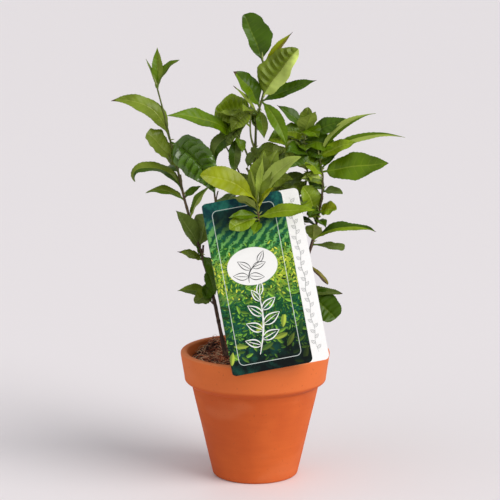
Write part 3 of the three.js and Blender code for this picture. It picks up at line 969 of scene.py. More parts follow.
def midrib(foot, habit, shares):
    """Places and directions along the midrib at shares of the leaf's length."""
    steps = np.linspace(0, 1, MIDRIB_STEPS + 1)
    tilt = np.radians(habit["rise"] - habit["droop"] * steps - habit["hook"] * smooth(HOOK_START, 1, steps))
    heading = np.radians(habit["heading"] + habit["sweep"] * steps)
    run = np.column_stack([np.cos(heading) * np.cos(tilt), np.sin(heading) * np.cos(tilt), np.sin(tilt)])
    stride = habit["length"] * MM / MIDRIB_STEPS
    places = foot + np.vstack([np.zeros(3), np.cumsum((run[:-1] + run[1:]) / 2, axis=0)]) * stride
    across = np.column_stack([-np.sin(heading), np.cos(heading), np.zeros_like(heading)])

    def pick_rows(rows):
        return np.column_stack([np.interp(shares, steps, rows[:, i]) for i in range(3)])

    return pick_rows(places), pick_rows(run), pick_rows(across)


def outline(shares, habit):
    """Half the blade's width, in millimetres, with the stalk below it."""
    blade = np.clip((shares - STALK_SHARE) / (1 - STALK_SHARE), 0, 1)
    swell = np.sin(np.pi * blade ** habit["widest"])
    power = blend_numbers(habit["base"], habit["tip"], smooth(0.25, 0.75, blade))
    half_width = habit["width"] / 2 * np.clip(swell, 0, 1) ** power
    stalk = STALK_RADIUS * (1 - smooth(0.10, 0.35, shares)) + TIP_RADIUS
    return np.maximum(half_width, stalk)


sample = leaf(0, 0, 30, 60, 20, 40, 0)
print("half widths of a leaf 20 mm wide:", outline(np.linspace(0, 1, 6), sample).round(1))

# %% [markdown]
# The blade's points are laid right and left of the midrib, and then lifted off the plane: by the fold, the
# waves of the edge, a slow buckle, and the quilting. A groove runs along the midrib on top and a keel
# below, and the underside lies a third of a millimetre under the upper face. Every other point of the
# edge stands out a little, which makes the teeth.

# %% Bend a leaf
WAVE_WIDTH = 16  # a leaf of this width has waves and a buckle of the height stated
QUILT_WIDTH = 22
BUCKLE = 0.6  # this and what follows are heights in millimetres
TOOTH = 0.35
GROOVE = 0.32
KEEL = 0.55
SHEET = 0.34
STALK_DEPTH = 0.95
STALK_HUMP = 0.5
GROOVE_REACH = 0.7


def is_lower(across, habit):
    """Whether a place on the blade lies in the half that hangs lower."""
    return across > 0 if habit["roll"] > 0 else across < 0


def bend_leaf(foot, habit, seed):
    """The blade's points, bent to their place."""
    luck = np.random.default_rng(seed)
    places, run, level = midrib(foot, habit, Blade.along)
    normal = np.cross(run, level)
    roll = np.radians(habit["roll"] + habit["twist"] * (Blade.along - 0.3))[:, None]
    right = -(level * np.cos(roll) + normal * np.sin(roll))
    up = normal * np.cos(roll) - level * np.sin(roll)
    phase = luck.uniform(0, 2 * np.pi, (4, 2))[:, (Blade.across > 0).astype(int)]
    turn = 2 * np.pi * Blade.along
    margin = 0.6 * np.sin(2.1 * turn + phase[0]) + 0.4 * np.sin(5.3 * turn + phase[1])
    lopsided = 1 + habit["lean"] * np.sign(Blade.across)
    half_width = outline(Blade.along, habit) * lopsided * (1 + habit["ragged"] * margin)
    reach = np.abs(Blade.across)
    edge = reach > 0.98
    teeth = TOOTH * (np.rint(Blade.vein_row * VEINS * ROWS_PER_VEIN) % 2) * edge * (half_width > 2.0)
    sideways = Blade.across * half_width + np.sign(Blade.across) * teeth
    fold = np.radians(habit["fold"]) * smooth(0.05, 0.25, Blade.along)
    blade = smooth(STALK_SHARE, 0.22, Blade.along) * (1 - smooth(0.9, 1, Blade.along))
    lift = np.abs(sideways) * np.sin(fold)
    grown = habit["width"] / WAVE_WIDTH
    lift += habit["wave"] * grown * reach ** 2 * blade * np.sin(habit["waves"] * turn + phase[2])
    lift += BUCKLE * grown * blade * np.sin(1.7 * turn + phase[3, 0] + 1.5 * Blade.across)
    ribbed = np.where(is_lower(Blade.across, habit), habit["calm"], 1)
    lift += habit["quilt"] * ribbed * Blade.quilt * blade * habit["width"] / QUILT_WIDTH
    groove = np.exp(-((Blade.across * half_width / GROOVE_REACH) ** 2)) * smooth(0.1, 0.3, Blade.along)
    lift -= GROOVE * groove * (1 - 0.7 * Blade.along)
    stalky = 1 - smooth(0.06, 0.2, Blade.along)
    keel = KEEL * groove * (1 - 0.8 * Blade.along)
    lift -= Blade.under * (SHEET + STALK_DEPTH * stalky + keel)
    lift += STALK_HUMP * stalky * (1 - 2 * reach ** 2 * (~Blade.under))
    return places + (right * (sideways * np.cos(fold))[:, None] + up * lift[:, None]) * MM


sample_size = np.ptp(bend_leaf(np.zeros(3), sample, 0), axis=0) / MM
print("the same leaf, bent, is", sample_size.round(1), "mm across, deep and high")

# %% [markdown]
# ## Leaf finishes
# The upper face is a green with a low sheen, a pale midrib and fainter side veins, and the underside is
# paler and duller. One old leaf is waxy and reflects much more. The tints differ by age: dark old leaves,
# fresh green ones, yellow-green ones in full growth and a few tinged with russet. One pale yellow-green
# tint is painted light instead: a painted highlight for a half that lies in shade. Each is a plain base
# colour for a whole leaf, or for the half that hangs lower.

# %% Leaf tints
LEAF_TINTS = {
    # name: upper face, its veins, underside
    "waxy": (paint(72, 104, 20), paint(92, 120, 38), paint(104, 122, 52)),
    "dark": (paint(62, 90, 8), paint(94, 116, 28), paint(104, 122, 52)),
    "grey": (paint(92, 110, 44), paint(126, 142, 74), paint(122, 138, 76)),
    "green": (paint(86, 114, 6), paint(130, 150, 40), paint(134, 152, 62)),
    "fresh": (paint(122, 146, 22), paint(158, 174, 66), paint(154, 170, 74)),
    # painted light: a pale, bright tint that paints a highlight on a half that lies in shade
    "pale": (paint(150, 168, 74), paint(178, 190, 104), paint(166, 180, 98)),
    "lime": (paint(200, 218, 112), paint(190, 204, 116), paint(172, 188, 104)),
    "yellow": (paint(136, 148, 12), paint(148, 156, 34), paint(146, 152, 44)),
    "olive": (paint(108, 126, 34), paint(142, 154, 66), paint(128, 140, 66)),
    "russet": (paint(128, 120, 40), paint(150, 136, 62), paint(120, 104, 44)),
    "dry": (paint(72, 54, 34), paint(92, 72, 46), paint(84, 66, 42)),
}
SHEEN = {"waxy": (0.6, 0.05)}  # how strongly a tint's upper face reflects, and how much smoother it is
PLAIN_SHEEN = (0.18, 0)
print("tints:", ", ".join(LEAF_TINTS))

# %% [markdown]
# The veins are drawn by the leaf's own map, in which every leaf is a square, so the pattern bends with the
# blade. A slow mottle makes the base colour a little deeper or lighter, and dulls it or not.

# %% Leaf finishes
LEAF_MAP = "leaf_map"
BAKE_MAP = "OFBake"
UNDER_SHEEN = 0.1


def leaf_finish(name, face, vein, is_under, sheen, smoothness):
    reflects = UNDER_SHEEN if is_under else sheen
    finish = Finish(name, face, 0.6 if is_under else 0.4, Specular_IOR_Level=reflects)
    blade = finish.add("UVMap", {"uv_map": LEAF_MAP}).outputs["UV"]
    split = finish.add("SeparateXYZ", Vector=blade).outputs
    off_midrib = finish.math("ABSOLUTE", finish.math("SUBTRACT", split["X"], 0.5))
    midrib_line = finish.span(off_midrib, 0.010, 0.036, 1, 0)
    rows = finish.math("MULTIPLY", split["Y"], VEINS)
    row_share = finish.math("FRACT", finish.math("ADD", rows, 0.5))
    off_vein = finish.math("ABSOLUTE", finish.math("SUBTRACT", row_share, 0.5))
    vein_line = finish.span(off_vein, 0.02, 0.11, 1, 0)
    fading = finish.span(off_midrib, 0.22, 0.45, 1, 0)
    vein_share = finish.math("MULTIPLY", finish.math("MULTIPLY", vein_line, fading), 0.4 if is_under else 0.2)
    place = finish.object_place()
    mottle = finish.span(finish.clouds(place, 60, 2, 0.4), 0.3, 0.7)
    deeper = tuple(c * 0.8 for c in face[:3]) + (1,)
    lighter = tuple(min(1, c * 1.15) for c in face[:3]) + (1,)
    blade_colour = finish.mix(mottle, deeper, lighter)
    blade_colour = finish.mix(vein_share, blade_colour, vein)
    blade_colour = finish.mix(finish.math("MULTIPLY", midrib_line, 0.7), blade_colour, vein)
    finish.colour(blade_colour)
    pores = finish.clouds(place, 1500, 2)
    rough = (0.5, 0.62) if is_under else (0.27 - smoothness, 0.38 - smoothness)
    finish.gloss(finish.span(mottle, 0, 1, *rough))
    finish.relief(pores, 0.00010, 0.5)
    return finish.material


leaf_materials = []
tint_slot = {}
for tint, (face, vein, under) in LEAF_TINTS.items():
    tint_slot[tint] = len(leaf_materials)
    sheen = SHEEN.get(tint, PLAIN_SHEEN)
    leaf_materials.append(leaf_finish("leaf_" + tint, face, vein, False, *sheen))
    leaf_materials.append(leaf_finish("leaf_" + tint + "_under", under, vein, True, *sheen))
print("leaf finishes:", len(leaf_materials))

# %% [markdown]
# ## The sprays
# The leaves grow from the stems in sprays. The leading leaves of each spray set the plant's outline, so
# they are stated one by one: the height on the limb, the heading, the rise, the length and width, the
# droop, and the roll of the upper face. The left stem comes first, from its tip down.


# %% Leaves of the left stem
def count_leaves(sprays):
    return sum(len(leaves) for _, leaves in sprays.values())


SPRAYS = {
    "left_tip_leaves": ("left_stem", [
        leaf(335, 90, 86, 35, 10, 0, 0, "olive", fold=22, lower="green"),
        leaf(336, 352, 80, 32, 9, 58, 50, "green", fold=24, lower="grey"),
        leaf(336, 180, 72, 26, 3.5, 5, 60, "dark", fold=40),
    ]),
    "left_shoulder_leaves": ("left_stem", [
        leaf(292, 190, 80, 67, 18, 92, -55, "olive", tip=1.1, base=1.2, dry=0.945, wave=0.9, lean=-0.1),
        leaf(268, 192, 61, 40, 20, 24, -50, "olive", widest=1.2, tip=0.22, base=0.5, ragged=0.18,
             lower="olive"),
        leaf(290, 322, -14, 66, 31, 52, 56, "waxy", quilt=3.6, base=0.5, widest=0.75, wave=1.2, lower="waxy"),
    ]),
    "left_arch_leaves": ("left_stem", [
        leaf(248, 191, 70, 60, 13, 108, -35, "olive", hook=76, lower="dark", ragged=0.1, tip=0.7),
        leaf(240, 184, 44, 36, 10, 66, -35, "olive", lower="green"),
        leaf(224, 345, 76, 34, 9, 36, 50, "green", lower="pale"),
        leaf(242, 20, 44, 18, 7, 24, 40, "dark"),
    ]),
    "left_pair_leaves": ("left_stem", [
        leaf(196, 200, 66, 42, 16, 14, -70, "grey", lower="grey", lean=0.2),
        leaf(198, 340, 84, 30, 24, 20, 70, "grey", tip=0.4, widest=1.3, lower="grey"),
        leaf(188, 192, 30, 24, 10, 20, -40, "olive", tip=1.8, dry=0.86, ragged=0.16),
        leaf(190, 214, 64, 12, 7, 10, -60, "dark"),
        leaf(192, 330, -38, 32, 12, 24, 50, "dark"),
        leaf(180, 300, -40, 26, 11, 20, 30, "dark"),
    ]),
    "left_low_leaves": ("left_stem", [
        leaf(158, 196, 24, 32, 12, 30, -45, "olive", tip=1.4, lower="grey"),
        leaf(156, 222, 22, 22, 15, 60, -50, "olive", tip=0.7, ragged=0.14, lower="grey"),
        leaf(166, 250, -24, 16, 12, 30, -40, "dark", tip=0.7, ragged=0.14),
    ]),
}
print("leading leaves so far:", count_leaves(SPRAYS))

# %% [markdown]
# At the top stands a large leaf folded half shut. Its lower half is painted in a pale yellow-green, a
# painted highlight as if it caught the light. The right stem ends in long slim leaves that point outwards.

# %% Leaves of the top and of the right tip
SPRAYS |= {
    "top_leaves": ("centre_stem", [
        leaf(358, 190, 71, 43, 22, 6, -82, "dark", widest=0.85, tip=0.38, base=0.9, lean=0.4, fold=14,
             quilt=0.4, wave=0.5, lower="dark"),
        # its lower half takes the painted highlight tint
        leaf(328, 344, 60, 52, 29, 14, 80, "olive", fold=26, quilt=2.4, calm=0.25, tip=0.6, base=0.65,
             lower="lime", lean=-0.1),
        leaf(352, 6, 58, 40, 8, 14, 60, "yellow", fold=30, tip=1.4, base=1.6, lower="russet", dry=0.93),
        leaf(320, 208, 66, 40, 21, 30, -65, "dark", tip=1.0, widest=0.9, base=0.7, lower="green", dry=0.93),
        leaf(314, 228, 45, 40, 4.5, 10, 20, "green", fold=40, lower="grey", dry=0.9),
        leaf(318, 296, -58, 26, 10, 20, 30, "olive", lower="green"),
        leaf(325, 322, -34, 47, 12, 40, 50, "green", lower="green"),
        leaf(325, 355, 26, 50, 13, 10, 58, "dark", fold=18, quilt=0.6, tip=1.2, dry=0.97),
    ]),
    "right_tip_leaves": ("right_stem", [
        leaf(277, 352, 70, 64, 8, 62, 60, "pale", fold=26, tip=1.4, lower="green"),
        leaf(276, 352, 44, 78, 8, 58, 62, "green", fold=26, tip=1.5, lower="pale", lean=0.3),
        leaf(278, 344, 35, 35, 13, 24, 54, "fresh", base=0.5),
        leaf(265, 345, 12, 58, 24, 6, 62, "green", fold=6, base=0.62, widest=0.82, dry=0.975, wave=0.6,
             quilt=0.2, tip=0.9),
        leaf(268, 352, 48, 21, 5, 6, 50, "dark"),
        leaf(262, 198, 50, 26, 15, 30, -55, "green", lower="fresh"),
        leaf(258, 200, 20, 20, 9, 30, -60, "pale", lower="grey"),
        leaf(254, 195, 46, 20, 12, 30, -50, "olive"),
    ]),
}
print("leading leaves so far:", count_leaves(SPRAYS))

# %% [markdown]
# The front bough comes through the card and bears the brightest leaves. Behind it a long leaf runs out to
# the left, past a quilted one.

# %% Leaves in front of the card and in the middle
SPRAYS |= {
    "front_shoot_leaves": ("front_bough", [
        leaf(246, 200, 48, 57, 22, 44, -65, "yellow", tip=0.65, widest=1.15, base=1.1, wave=0.3, ragged=0.03),
        leaf(231, 210, 4, 29, 15, 34, -58, "fresh", tip=0.6, widest=1.1),
        leaf(229, 255, -10, 20, 9, 30, -10, "green"),
        leaf(234, 205, 12, 27, 9, 24, -45, "green"),
        leaf(233, 345, 20, 49, 12, 22, 55, "fresh", base=0.7),
        leaf(240, 354, 80, 59, 14, 58, 64, "pale", fold=26, lower="pale", widest=1.2, tip=0.8),
        leaf(238, 298, 84, 46, 9, 6, 10, "green"),
        leaf(244, 60, 86, 45, 21, 20, 10, "olive", lower="olive"),
        leaf(244, 48, 72, 51, 22, 24, 15, "olive", lower="olive"),
        leaf(240, 212, 83, 36, 9, 10, -30, "fresh"),
        leaf(240, 320, 60, 25, 11, 20, 50, "yellow", fold=30),
        leaf(244, 40, 78, 36, 9, 10, 30, "fresh"),
        leaf(238, 162, 66, 30, 11, 40, -60, "dark"),
        leaf(240, 180, 40, 24, 12, 30, 40, "olive"),
    ]),
    "left_branch_leaves": ("left_bough", [
        leaf(296, 212, 36, 73, 18, 38, -48, "green", tip=1.2, base=0.6, widest=0.8, fold=8),
        leaf(300, 198, 10, 38, 13, 125, -50, "grey", lower="dark", base=0.7, widest=0.75),
        leaf(298, 251, -60, 33, 11, 34, -20, "dark", lower="grey"),
        leaf(300, 300, -40, 16, 12, 30, -20, "green"),
        leaf(299, 120, -10, 26, 12, 40, 0, "green"),
    ]),
    "centre_leaves": ("centre_shoot", [
        leaf(316, 162, 16, 34, 28, 50, -52, "fresh", quilt=2.0, tip=0.7, base=0.6, lower="olive"),
        leaf(316, 166, -20, 38, 24, 44, -44, "green", quilt=1.8, base=0.6, lower="green"),
        leaf(312, 190, -30, 34, 18, 40, -30, "grey", quilt=1.6, base=0.6),
        leaf(314, 130, -40, 28, 14, 30, -50, "olive", quilt=1.4, lower="grey"),
        leaf(317, 70, -30, 26, 14, 30, 20, "green"),
        leaf(322, 215, -20, 26, 16, 40, -40, "olive", quilt=1.2),
    ]),
}
print("leading leaves so far:", count_leaves(SPRAYS))

# %% [markdown]
# Right of the middle the leaves are small and dense, in knots and fans.

# %% Leaves of the right crown
SPRAYS |= {
    "right_crown_leaves": ("inner_stem", [
        leaf(291, 352, 42, 43, 15, 32, 55, "dark", quilt=0.8),
        leaf(300, 40, 76, 20, 12, 0, 40, "olive", tip=0.6),
        leaf(303, 194, 50, 31, 12, 20, -58, "dark", tip=1.7, dry=0.9),
        leaf(300, 300, 10, 24, 18, 40, 20, "green"),
        leaf(293, 196, 16, 33, 21, 36, -52, "green", quilt=1.0, lower="fresh"),
        leaf(296, 206, 24, 22, 16, 30, -58, "green", lower="fresh"),
        leaf(288, 236, -14, 34, 23, 40, -55, "olive", quilt=0.9, lower="dark"),
        leaf(290, 350, 6, 30, 17, 30, 55, "dark", lower="green"),
        leaf(284, 340, -2, 22, 15, 40, 45, "dark"),
        leaf(280, 212, -4, 20, 16, 40, -40, "green"),
        leaf(276, 338, 16, 16, 13, 30, 50, "olive", lower="grey"),
        leaf(286, 270, 20, 18, 16, 50, 0, "green"),
    ]),
    "inner_fan_leaves": ("inner_stem", [
        leaf(262, 195, -10, 32, 14, 30, -40, "grey"),
        leaf(256, 215, -20, 28, 14, 30, -50, "olive"),
        leaf(268, 345, 30, 26, 12, 20, 50, "green"),
        leaf(266, 250, 30, 24, 14, 30, 0, "green"),
        leaf(258, 330, -8, 20, 12, 40, 40, "dark"),
    ]),
    "middle_fan_leaves": ("centre_stem", [
        leaf(266, 342, 44, 38, 22, 32, 56, "pale", quilt=1.0, lower="grey"),
        leaf(284, 348, 10, 29, 14, 60, 56, "olive"),
        leaf(250, 345, 40, 36, 18, 50, 56, "olive", lower="olive"),
        leaf(262, 40, 68, 24, 12, 12, 60, "grey"),
        leaf(283, 190, -50, 16, 8, 30, -60, "grey"),
        leaf(258, 160, 4, 30, 14, 40, -40, "olive"),
        leaf(276, 320, -20, 20, 11, 40, 40, "pale"),
    ]),
}
print("leading leaves so far:", count_leaves(SPRAYS))

# %% [markdown]
# Down the right stem they thin out, with one narrow, wavy leaf and a few beside the card.

# %% Leaves down the right side
SPRAYS |= {
    "right_side_leaves": ("right_stem", [
        leaf(224, 200, 76, 32, 21, 22, -78, "fresh", tip=0.6, widest=1.1),
        leaf(230, 328, 30, 18, 14, 34, 50, "yellow", tip=0.6, lower="fresh"),
        leaf(248, 338, 17, 19, 9, 40, 35, "grey", tip=0.7),
        leaf(226, 240, 30, 18, 12, 50, -20, "olive"),
    ]),
    "right_wing_leaves": ("right_stem", [
        leaf(206, 348, 40, 58, 9, 62, 48, "dark", wave=2.6, waves=1.8, lower="fresh", dry=0.97, ragged=0.12),
        leaf(202, 347, -1, 29, 8, 8, 40, "grey", tip=0.16, widest=1.5, lower="grey", ragged=0.1),
        leaf(206, 270, 55, 22, 15, 20, 0, "green", tip=0.7, lower="olive"),
    ]),
    "right_low_leaves": ("right_stem", [
        leaf(186, 340, -36, 27, 5, 12, 30, "russet", tip=0.4, widest=1.3, lower="dry"),
        leaf(161, 346, 6, 42, 9, 12, 42, "grey", lower="grey", dry=0.95, tip=0.8),
        leaf(160, 338, -8, 44, 26, 40, 52, "dark", widest=1.35, tip=0.3, base=0.5, quilt=0.9),
    ]),
}
print("leading leaves so far:", count_leaves(SPRAYS))

# %% [markdown]
# Behind the stems a few wide leaves lead, and the rule that comes next fills in the rest.

# %% Leading leaves behind
SPRAYS |= {
    "back_left_leaves": ("middle_stem", [
        leaf(150, 70, 35, 50, 20, 50, 0, "green"),
        leaf(225, 64, 45, 40, 16, 40, 0, "green"),
    ]),
    "back_crown_leaves": ("back_stem", [
        leaf(215, 60, 30, 48, 20, 50, 0, "green"),
        leaf(180, 130, 20, 52, 22, 50, 0, "green"),
    ]),
    "back_low_leaves": ("back_stem", [
        leaf(135, 120, 25, 55, 22, 60, 0, "dark"),
        leaf(160, 50, 25, 52, 22, 60, 0, "green"),
    ]),
}
print("leading leaves:", count_leaves(SPRAYS), "in", len(SPRAYS), "sprays")

# %% [markdown]
# ## Leaves that the rule grows
# Between the leading leaves the plant fills itself in by a rule. Seen from the front the crown has rooms
# that leaves may fill, and open windows between them. A leaf that would cross a window isn't grown, nor one
# that would reach far outside the rooms. Leaves scattered by chance alone would fill the windows too.

# %% Rooms and windows
ROOMY_SHARE = 0.93  # of a leaf's points have to lie in a room
ROOMS = [  # from left to right and from low to high, in millimetres, as seen from the front
    (-34, 66, 236, 322),
    (-10, 30, 300, 372),
    (-84, -46, 196, 300),
    (22, 62, 212, 250),
    (-24, 38, 112, 238),
]
WINDOWS = [
    (3, 14, 289, 310), (-17, -5, 262, 297), (-34, -21, 258, 312), (-38, -6, 236, 256), (24, 36, 262, 272),
    (46, 60, 244, 266), (-60, -36, 180, 262), (62, 90, 236, 262), (-22, -3, 343, 364), (16, 44, 334, 366),
    (15, 26, 300, 320), (-64, -46, 270, 300), (-86, -74, 274, 290),
    (14, 44, 322, 336), (58, 90, 262, 284), (6, 18, 325, 335),
]


def seen_from_front(points):
    """Where lines of sight through the points meet the plane of the stems, in millimetres."""
    eye = np.array(camera.location)
    share = (0 - eye[1]) / (points[:, 1] - eye[1])
    seen = eye + (points - eye) * share[:, None]
    return seen[:, 0] / MM, seen[:, 2] / MM


def fits_the_crown(points):
    x, z = seen_from_front(points)
    for x0, x1, z0, z1 in WINDOWS:
        if np.any((x > x0) & (x < x1) & (z > z0) & (z < z1)):
            return False
    roomy = np.zeros(len(x), bool)
    for x0, x1, z0, z1 in ROOMS:
        roomy |= (x > x0) & (x < x1) & (z > z0) & (z < z1)
    return roomy.mean() > ROOMY_SHARE


print("rooms:", len(ROOMS), "windows:", len(WINDOWS))

# %% [markdown]
# Up each limb a leaf grows at even steps, each turned by the same angle from the last, as tea leaves are,
# and its size, rise and droop vary a little by chance.

# %% The rule of growth
GOLDEN_TURN = 137.5


def grow_spray(limb_name, low, high, spacing, sizes, tints, seed, sector=(0, 360)):
    """Leaves up a limb from one height to another. Only those that fit the crown are kept.

    With a sector, only the leaves that point into it are grown.
    """
    luck = np.random.default_rng(seed)
    grown = []
    for step, height in enumerate(np.arange(low, high, spacing)):
        heading = (step * GOLDEN_TURN + luck.normal(0, 12)) % 360
        rise = luck.uniform(12, 50) + 14 * (height - low) / max(1, high - low)
        length = luck.uniform(*sizes)
        width = length * luck.uniform(0.36, 0.5)
        roll = luck.normal(0, 22)
        droop = luck.uniform(20, 60)
        tint = tints[luck.integers(len(tints))]
        shape = dict(fold=luck.uniform(6, 26), quilt=luck.uniform(0.3, 0.9), twist=luck.normal(0, 14),
                     sweep=luck.normal(0, 12), wave=luck.uniform(0.2, 0.7))
        if not sector[0] <= heading <= sector[1]:
            continue
        habit = leaf(height, heading, rise, length, width, droop, roll, tint, **shape)
        limb = limbs[limb_name]
        foot = limb.at(limb.find(height))
        if fits_the_crown(bend_leaf(foot, habit, seed)):
            grown.append(habit)
    print(f"{limb_name}, seed {seed}: {len(grown)} leaves grown")
    return grown


# %% [markdown]
# The rule is run once for each row of the table. Rows with a sector grow only to the rear or to the front,
# which makes the crown deep and full from the sides without shutting its windows.

# %% Where the rule runs
REAR = (35, 145)
FRONT = (225, 315)
MIXED = ["green", "dark", "green", "grey"]
GROWTH = {
    # name: limb, from height, to height, spacing, sizes, tints, seed, sector
    "grown_on_inner": ("inner_stem", 226, 304, 4.6, (28, 44), ["green", "fresh", "green", "grey"], 3),
    "grown_on_centre": ("centre_stem", 225, 345, 3.2, (22, 40), ["green", "olive", "green", "dark"], 5),
    "grown_on_right": ("right_stem", 215, 280, 4.0, (20, 34), ["green", "dark", "fresh"], 8),
    "grown_on_back": ("back_stem", 140, 224, 4.5, (30, 50), ["green", "dark", "fresh"], 12),
    "grown_on_shoot": ("centre_shoot", 290, 320, 3.5, (20, 34), ["green", "olive"], 14),
    "grown_on_left": ("left_stem", 210, 330, 9.0, (24, 38), ["green", "dark"], 15),
    "behind_inner": ("inner_stem", 190, 300, 3.0, (40, 60), MIXED, 21, REAR),
    "behind_centre": ("centre_stem", 130, 340, 2.6, (42, 62), MIXED, 22, REAR),
    "behind_right": ("right_stem", 130, 276, 2.6, (38, 58), MIXED, 23, REAR),
    "behind_middle": ("middle_stem", 120, 258, 3.0, (38, 56), MIXED, 25, REAR),
    "behind_back": ("back_stem", 120, 222, 3.0, (36, 54), MIXED, 26),
    "before_inner": ("inner_stem", 130, 290, 3.0, (30, 46), MIXED, 31, FRONT),
    "before_centre": ("centre_stem", 120, 320, 3.0, (30, 46), MIXED, 32, FRONT),
    "before_right": ("right_stem", 120, 262, 3.0, (28, 44), MIXED, 33, FRONT),
    "before_middle": ("middle_stem", 120, 230, 3.6, (28, 40), MIXED, 34, FRONT),
}
GROWN = {name: (rule[0], grow_spray(*rule)) for name, rule in GROWTH.items()}
SPRAYS |= GROWN
print("leaves in all:", count_leaves(SPRAYS))

# %% [markdown]
# ## Joined leaves
# Each leaf takes a cell of its own in a second map, the bake map, upper face and underside apart, so that
# each leaf's finish can be laid on it without touching the next.


# %% Maps and faces of a leaf
def leaf_maps(index, cells):
    """The leaf's own map, and its cell in the baked map. Points of the underside have the next cell."""
    own = np.column_stack([0.5 + Blade.across / 2, Blade.vein_row])
    cell = 2 * index + Blade.under
    corner = np.column_stack([cell % cells, cell // cells])
    inside = np.column_stack([0.5 + Blade.across / 2, Blade.along]) * 0.9 + 0.05
    return own, (corner + inside) / cells


def leaf_faces(habit):
    """Which finish each face of the blade takes."""
    middle = Blade.points[Blade.faces].mean(axis=1)
    finish = np.full(len(Blade.faces), tint_slot[habit["tint"]])
    if habit["lower"]:
        finish[is_lower(middle[:, 0], habit)] = tint_slot[habit["lower"]]
    if habit["dry"]:
        finish[middle[:, 1] > habit["dry"]] = tint_slot["dry"]
    return finish + Blade.under_faces


print("faces of a leaf:", len(Blade.faces), "of them below:", np.count_nonzero(Blade.under_faces))

# %% [markdown]
# Five pieces hold all the leaves: those of the left, of the right and of the middle, those of the back and
# of the rule's fillings, and those that lie deep to the rear and to the front. Only the leading sprays
# stand in for solids. A piece for each leaf would be hundreds of pieces, and a single one would be heavier
# than an export keeps whole.


# %% Join the leaves
def join_leaves(name, sprays):
    rows = [(limbs[limb], habit) for spray in sprays for limb, leaves in [SPRAYS[spray]] for habit in leaves]
    cells = math.ceil(math.sqrt(2 * len(rows)))
    gathered = Gatherer()
    for index, (limb, habit) in enumerate(rows):
        foot = limb.at(limb.find(habit["height"]))
        points = bend_leaf(foot, habit, index)
        finish = leaf_faces(habit)
        gathered.add(points, Blade.faces, finish, leaf_maps(index, cells))
    piece = gathered.build(name, leaf_materials, (LEAF_MAP, BAKE_MAP))
    hand_over(piece, "leaf", *[s for s in sprays if s not in GROWN])
    print(name, len(rows), "leaves,", len(piece.data.polygons), "faces")


left_sprays = [s for s in SPRAYS if s.startswith("left")]
right_sprays = [s for s in SPRAYS if s.startswith("right")]
back_sprays = [s for s in SPRAYS if s.startswith("back") or s.startswith("grown")]
deep_sprays = [s for s in SPRAYS if s.startswith("behind") or s.startswith("before")]
middle_sprays = [s for s in SPRAYS if s not in left_sprays + right_sprays + back_sprays + deep_sprays]
join_leaves("leaves_left", left_sprays)
join_leaves("leaves_right", right_sprays)
join_leaves("leaves_middle", middle_sprays)
join_leaves("leaves_back", back_sprays)
join_leaves("leaves_deep", deep_sprays)

# %% [markdown]
# ## Buds, twigs and stubs
# In the angle over each leaf sits a small pointed bud, and each stem ends in a larger one, pale with down.
# A bud is a short tube that swells and comes to a point.


# %% Buds
def tapered_tube(gathered, foot, heading, rise, length, droop, radii, sides, finish):
    """A tube from a foot along a bending line, with its radii in millimetres from foot to tip."""
    habit = dict(heading=heading, rise=rise, length=length, droop=droop, sweep=0, hook=0)
    path, _, _ = midrib(foot, habit, np.linspace(0, 1, len(radii)))
    gathered.add(tube_points(path, np.array(radii) * MM, sides), tube_faces(sides, len(radii)), finish)


BUD_SHAPE = np.array([0.55, 0.95, 1.0, 0.8, 0.45, 0.08])
bud_scale = Finish("bud_scale", paint(128, 142, 66), 0.5, Specular_IOR_Level=0.3)
down = bud_scale.clouds(bud_scale.object_place((1, 1, 0.3)), 1800, 3)
bud_scale.colour(bud_scale.mix(bud_scale.span(down, 0.35, 0.65), paint(112, 128, 54), paint(168, 176, 112)))
bud_scale.relief(down, 0.0001, 0.5)
buds = Gatherer()
for index, (limb_name, leaves) in enumerate(SPRAYS.values()):
    luck = np.random.default_rng(100 + index)
    for habit in leaves:
        foot = limbs[limb_name].at(limbs[limb_name].find(habit["height"] + 1.5))
        rise = min(85, habit["rise"] + 25)
        size = luck.uniform(0.45, 0.75)
        tapered_tube(buds, foot, habit["heading"], rise, luck.uniform(3, 5.5), 0, BUD_SHAPE * size, 6, 0)
for limb_name in STEMS + BOUGHS:
    line = limbs[limb_name].line
    run = line[-1] - line[-2]
    heading = math.degrees(math.atan2(run[1], run[0]))
    rise = math.degrees(math.asin(run[2] / np.linalg.norm(run)))
    tapered_tube(buds, line[-1], heading, rise, 8, 0, BUD_SHAPE * 0.9, 8, 0)
leaf_buds = buds.build("leaf_buds", [bud_scale.material])
hand_over(leaf_buds, "shoot")

# %% [markdown]
# A few bare twigs and the stubs of pruned ones also show. They are tubes too, knotted every nine
# millimetres and cut off square.

# %% Twigs and stubs
TWIGS = [
    # limb, height, heading, rise, length, droop, radius at the foot and at the tip
    ("centre_stem", 228, 172, 74, 72, 16, 0.9, 0.6),
    ("left_stem", 252, 170, 84, 10, 0, 1.2, 1.1),
    ("left_stem", 192, 196, 66, 11, -10, 1.3, 1.1),
    ("left_stem", 191, 350, 84, 10, 0, 1.1, 0.9),
    ("left_stem", 148, 182, 44, 12, -10, 0.7, 0.5),
    ("middle_stem", 232, 176, 84, 16, -24, 0.7, 0.5),
    ("centre_stem", 256, 190, 54, 14, -10, 1.0, 0.9),
    ("inner_stem", 250, 186, 22, 22, -10, 0.7, 0.5),
    ("inner_stem", 214, 150, 50, 26, -20, 0.8, 0.5),
    ("right_stem", 190, 60, 40, 22, -20, 0.8, 0.5),
    ("back_stem", 150, 200, 50, 26, -20, 0.9, 0.6),
]
TWIG_RINGS = 14
KNOT_SPACING = 9
twigs = Gatherer()
for limb_name, height, heading, rise, length, droop, thick, thin in TWIGS:
    foot = limbs[limb_name].at(limbs[limb_name].find(height))
    share = np.linspace(0, 1, TWIG_RINGS)
    knots = 1 + 0.25 * np.exp(-(((share * length) % KNOT_SPACING - KNOT_SPACING / 2) / 1.2) ** 2)
    tapered_tube(twigs, foot, heading, rise, length, droop, blend_numbers(thick, thin, share) * knots, 8, 0)
bare_twigs = twigs.build("bare_twigs", [bark])
hand_over(bare_twigs, "bark")

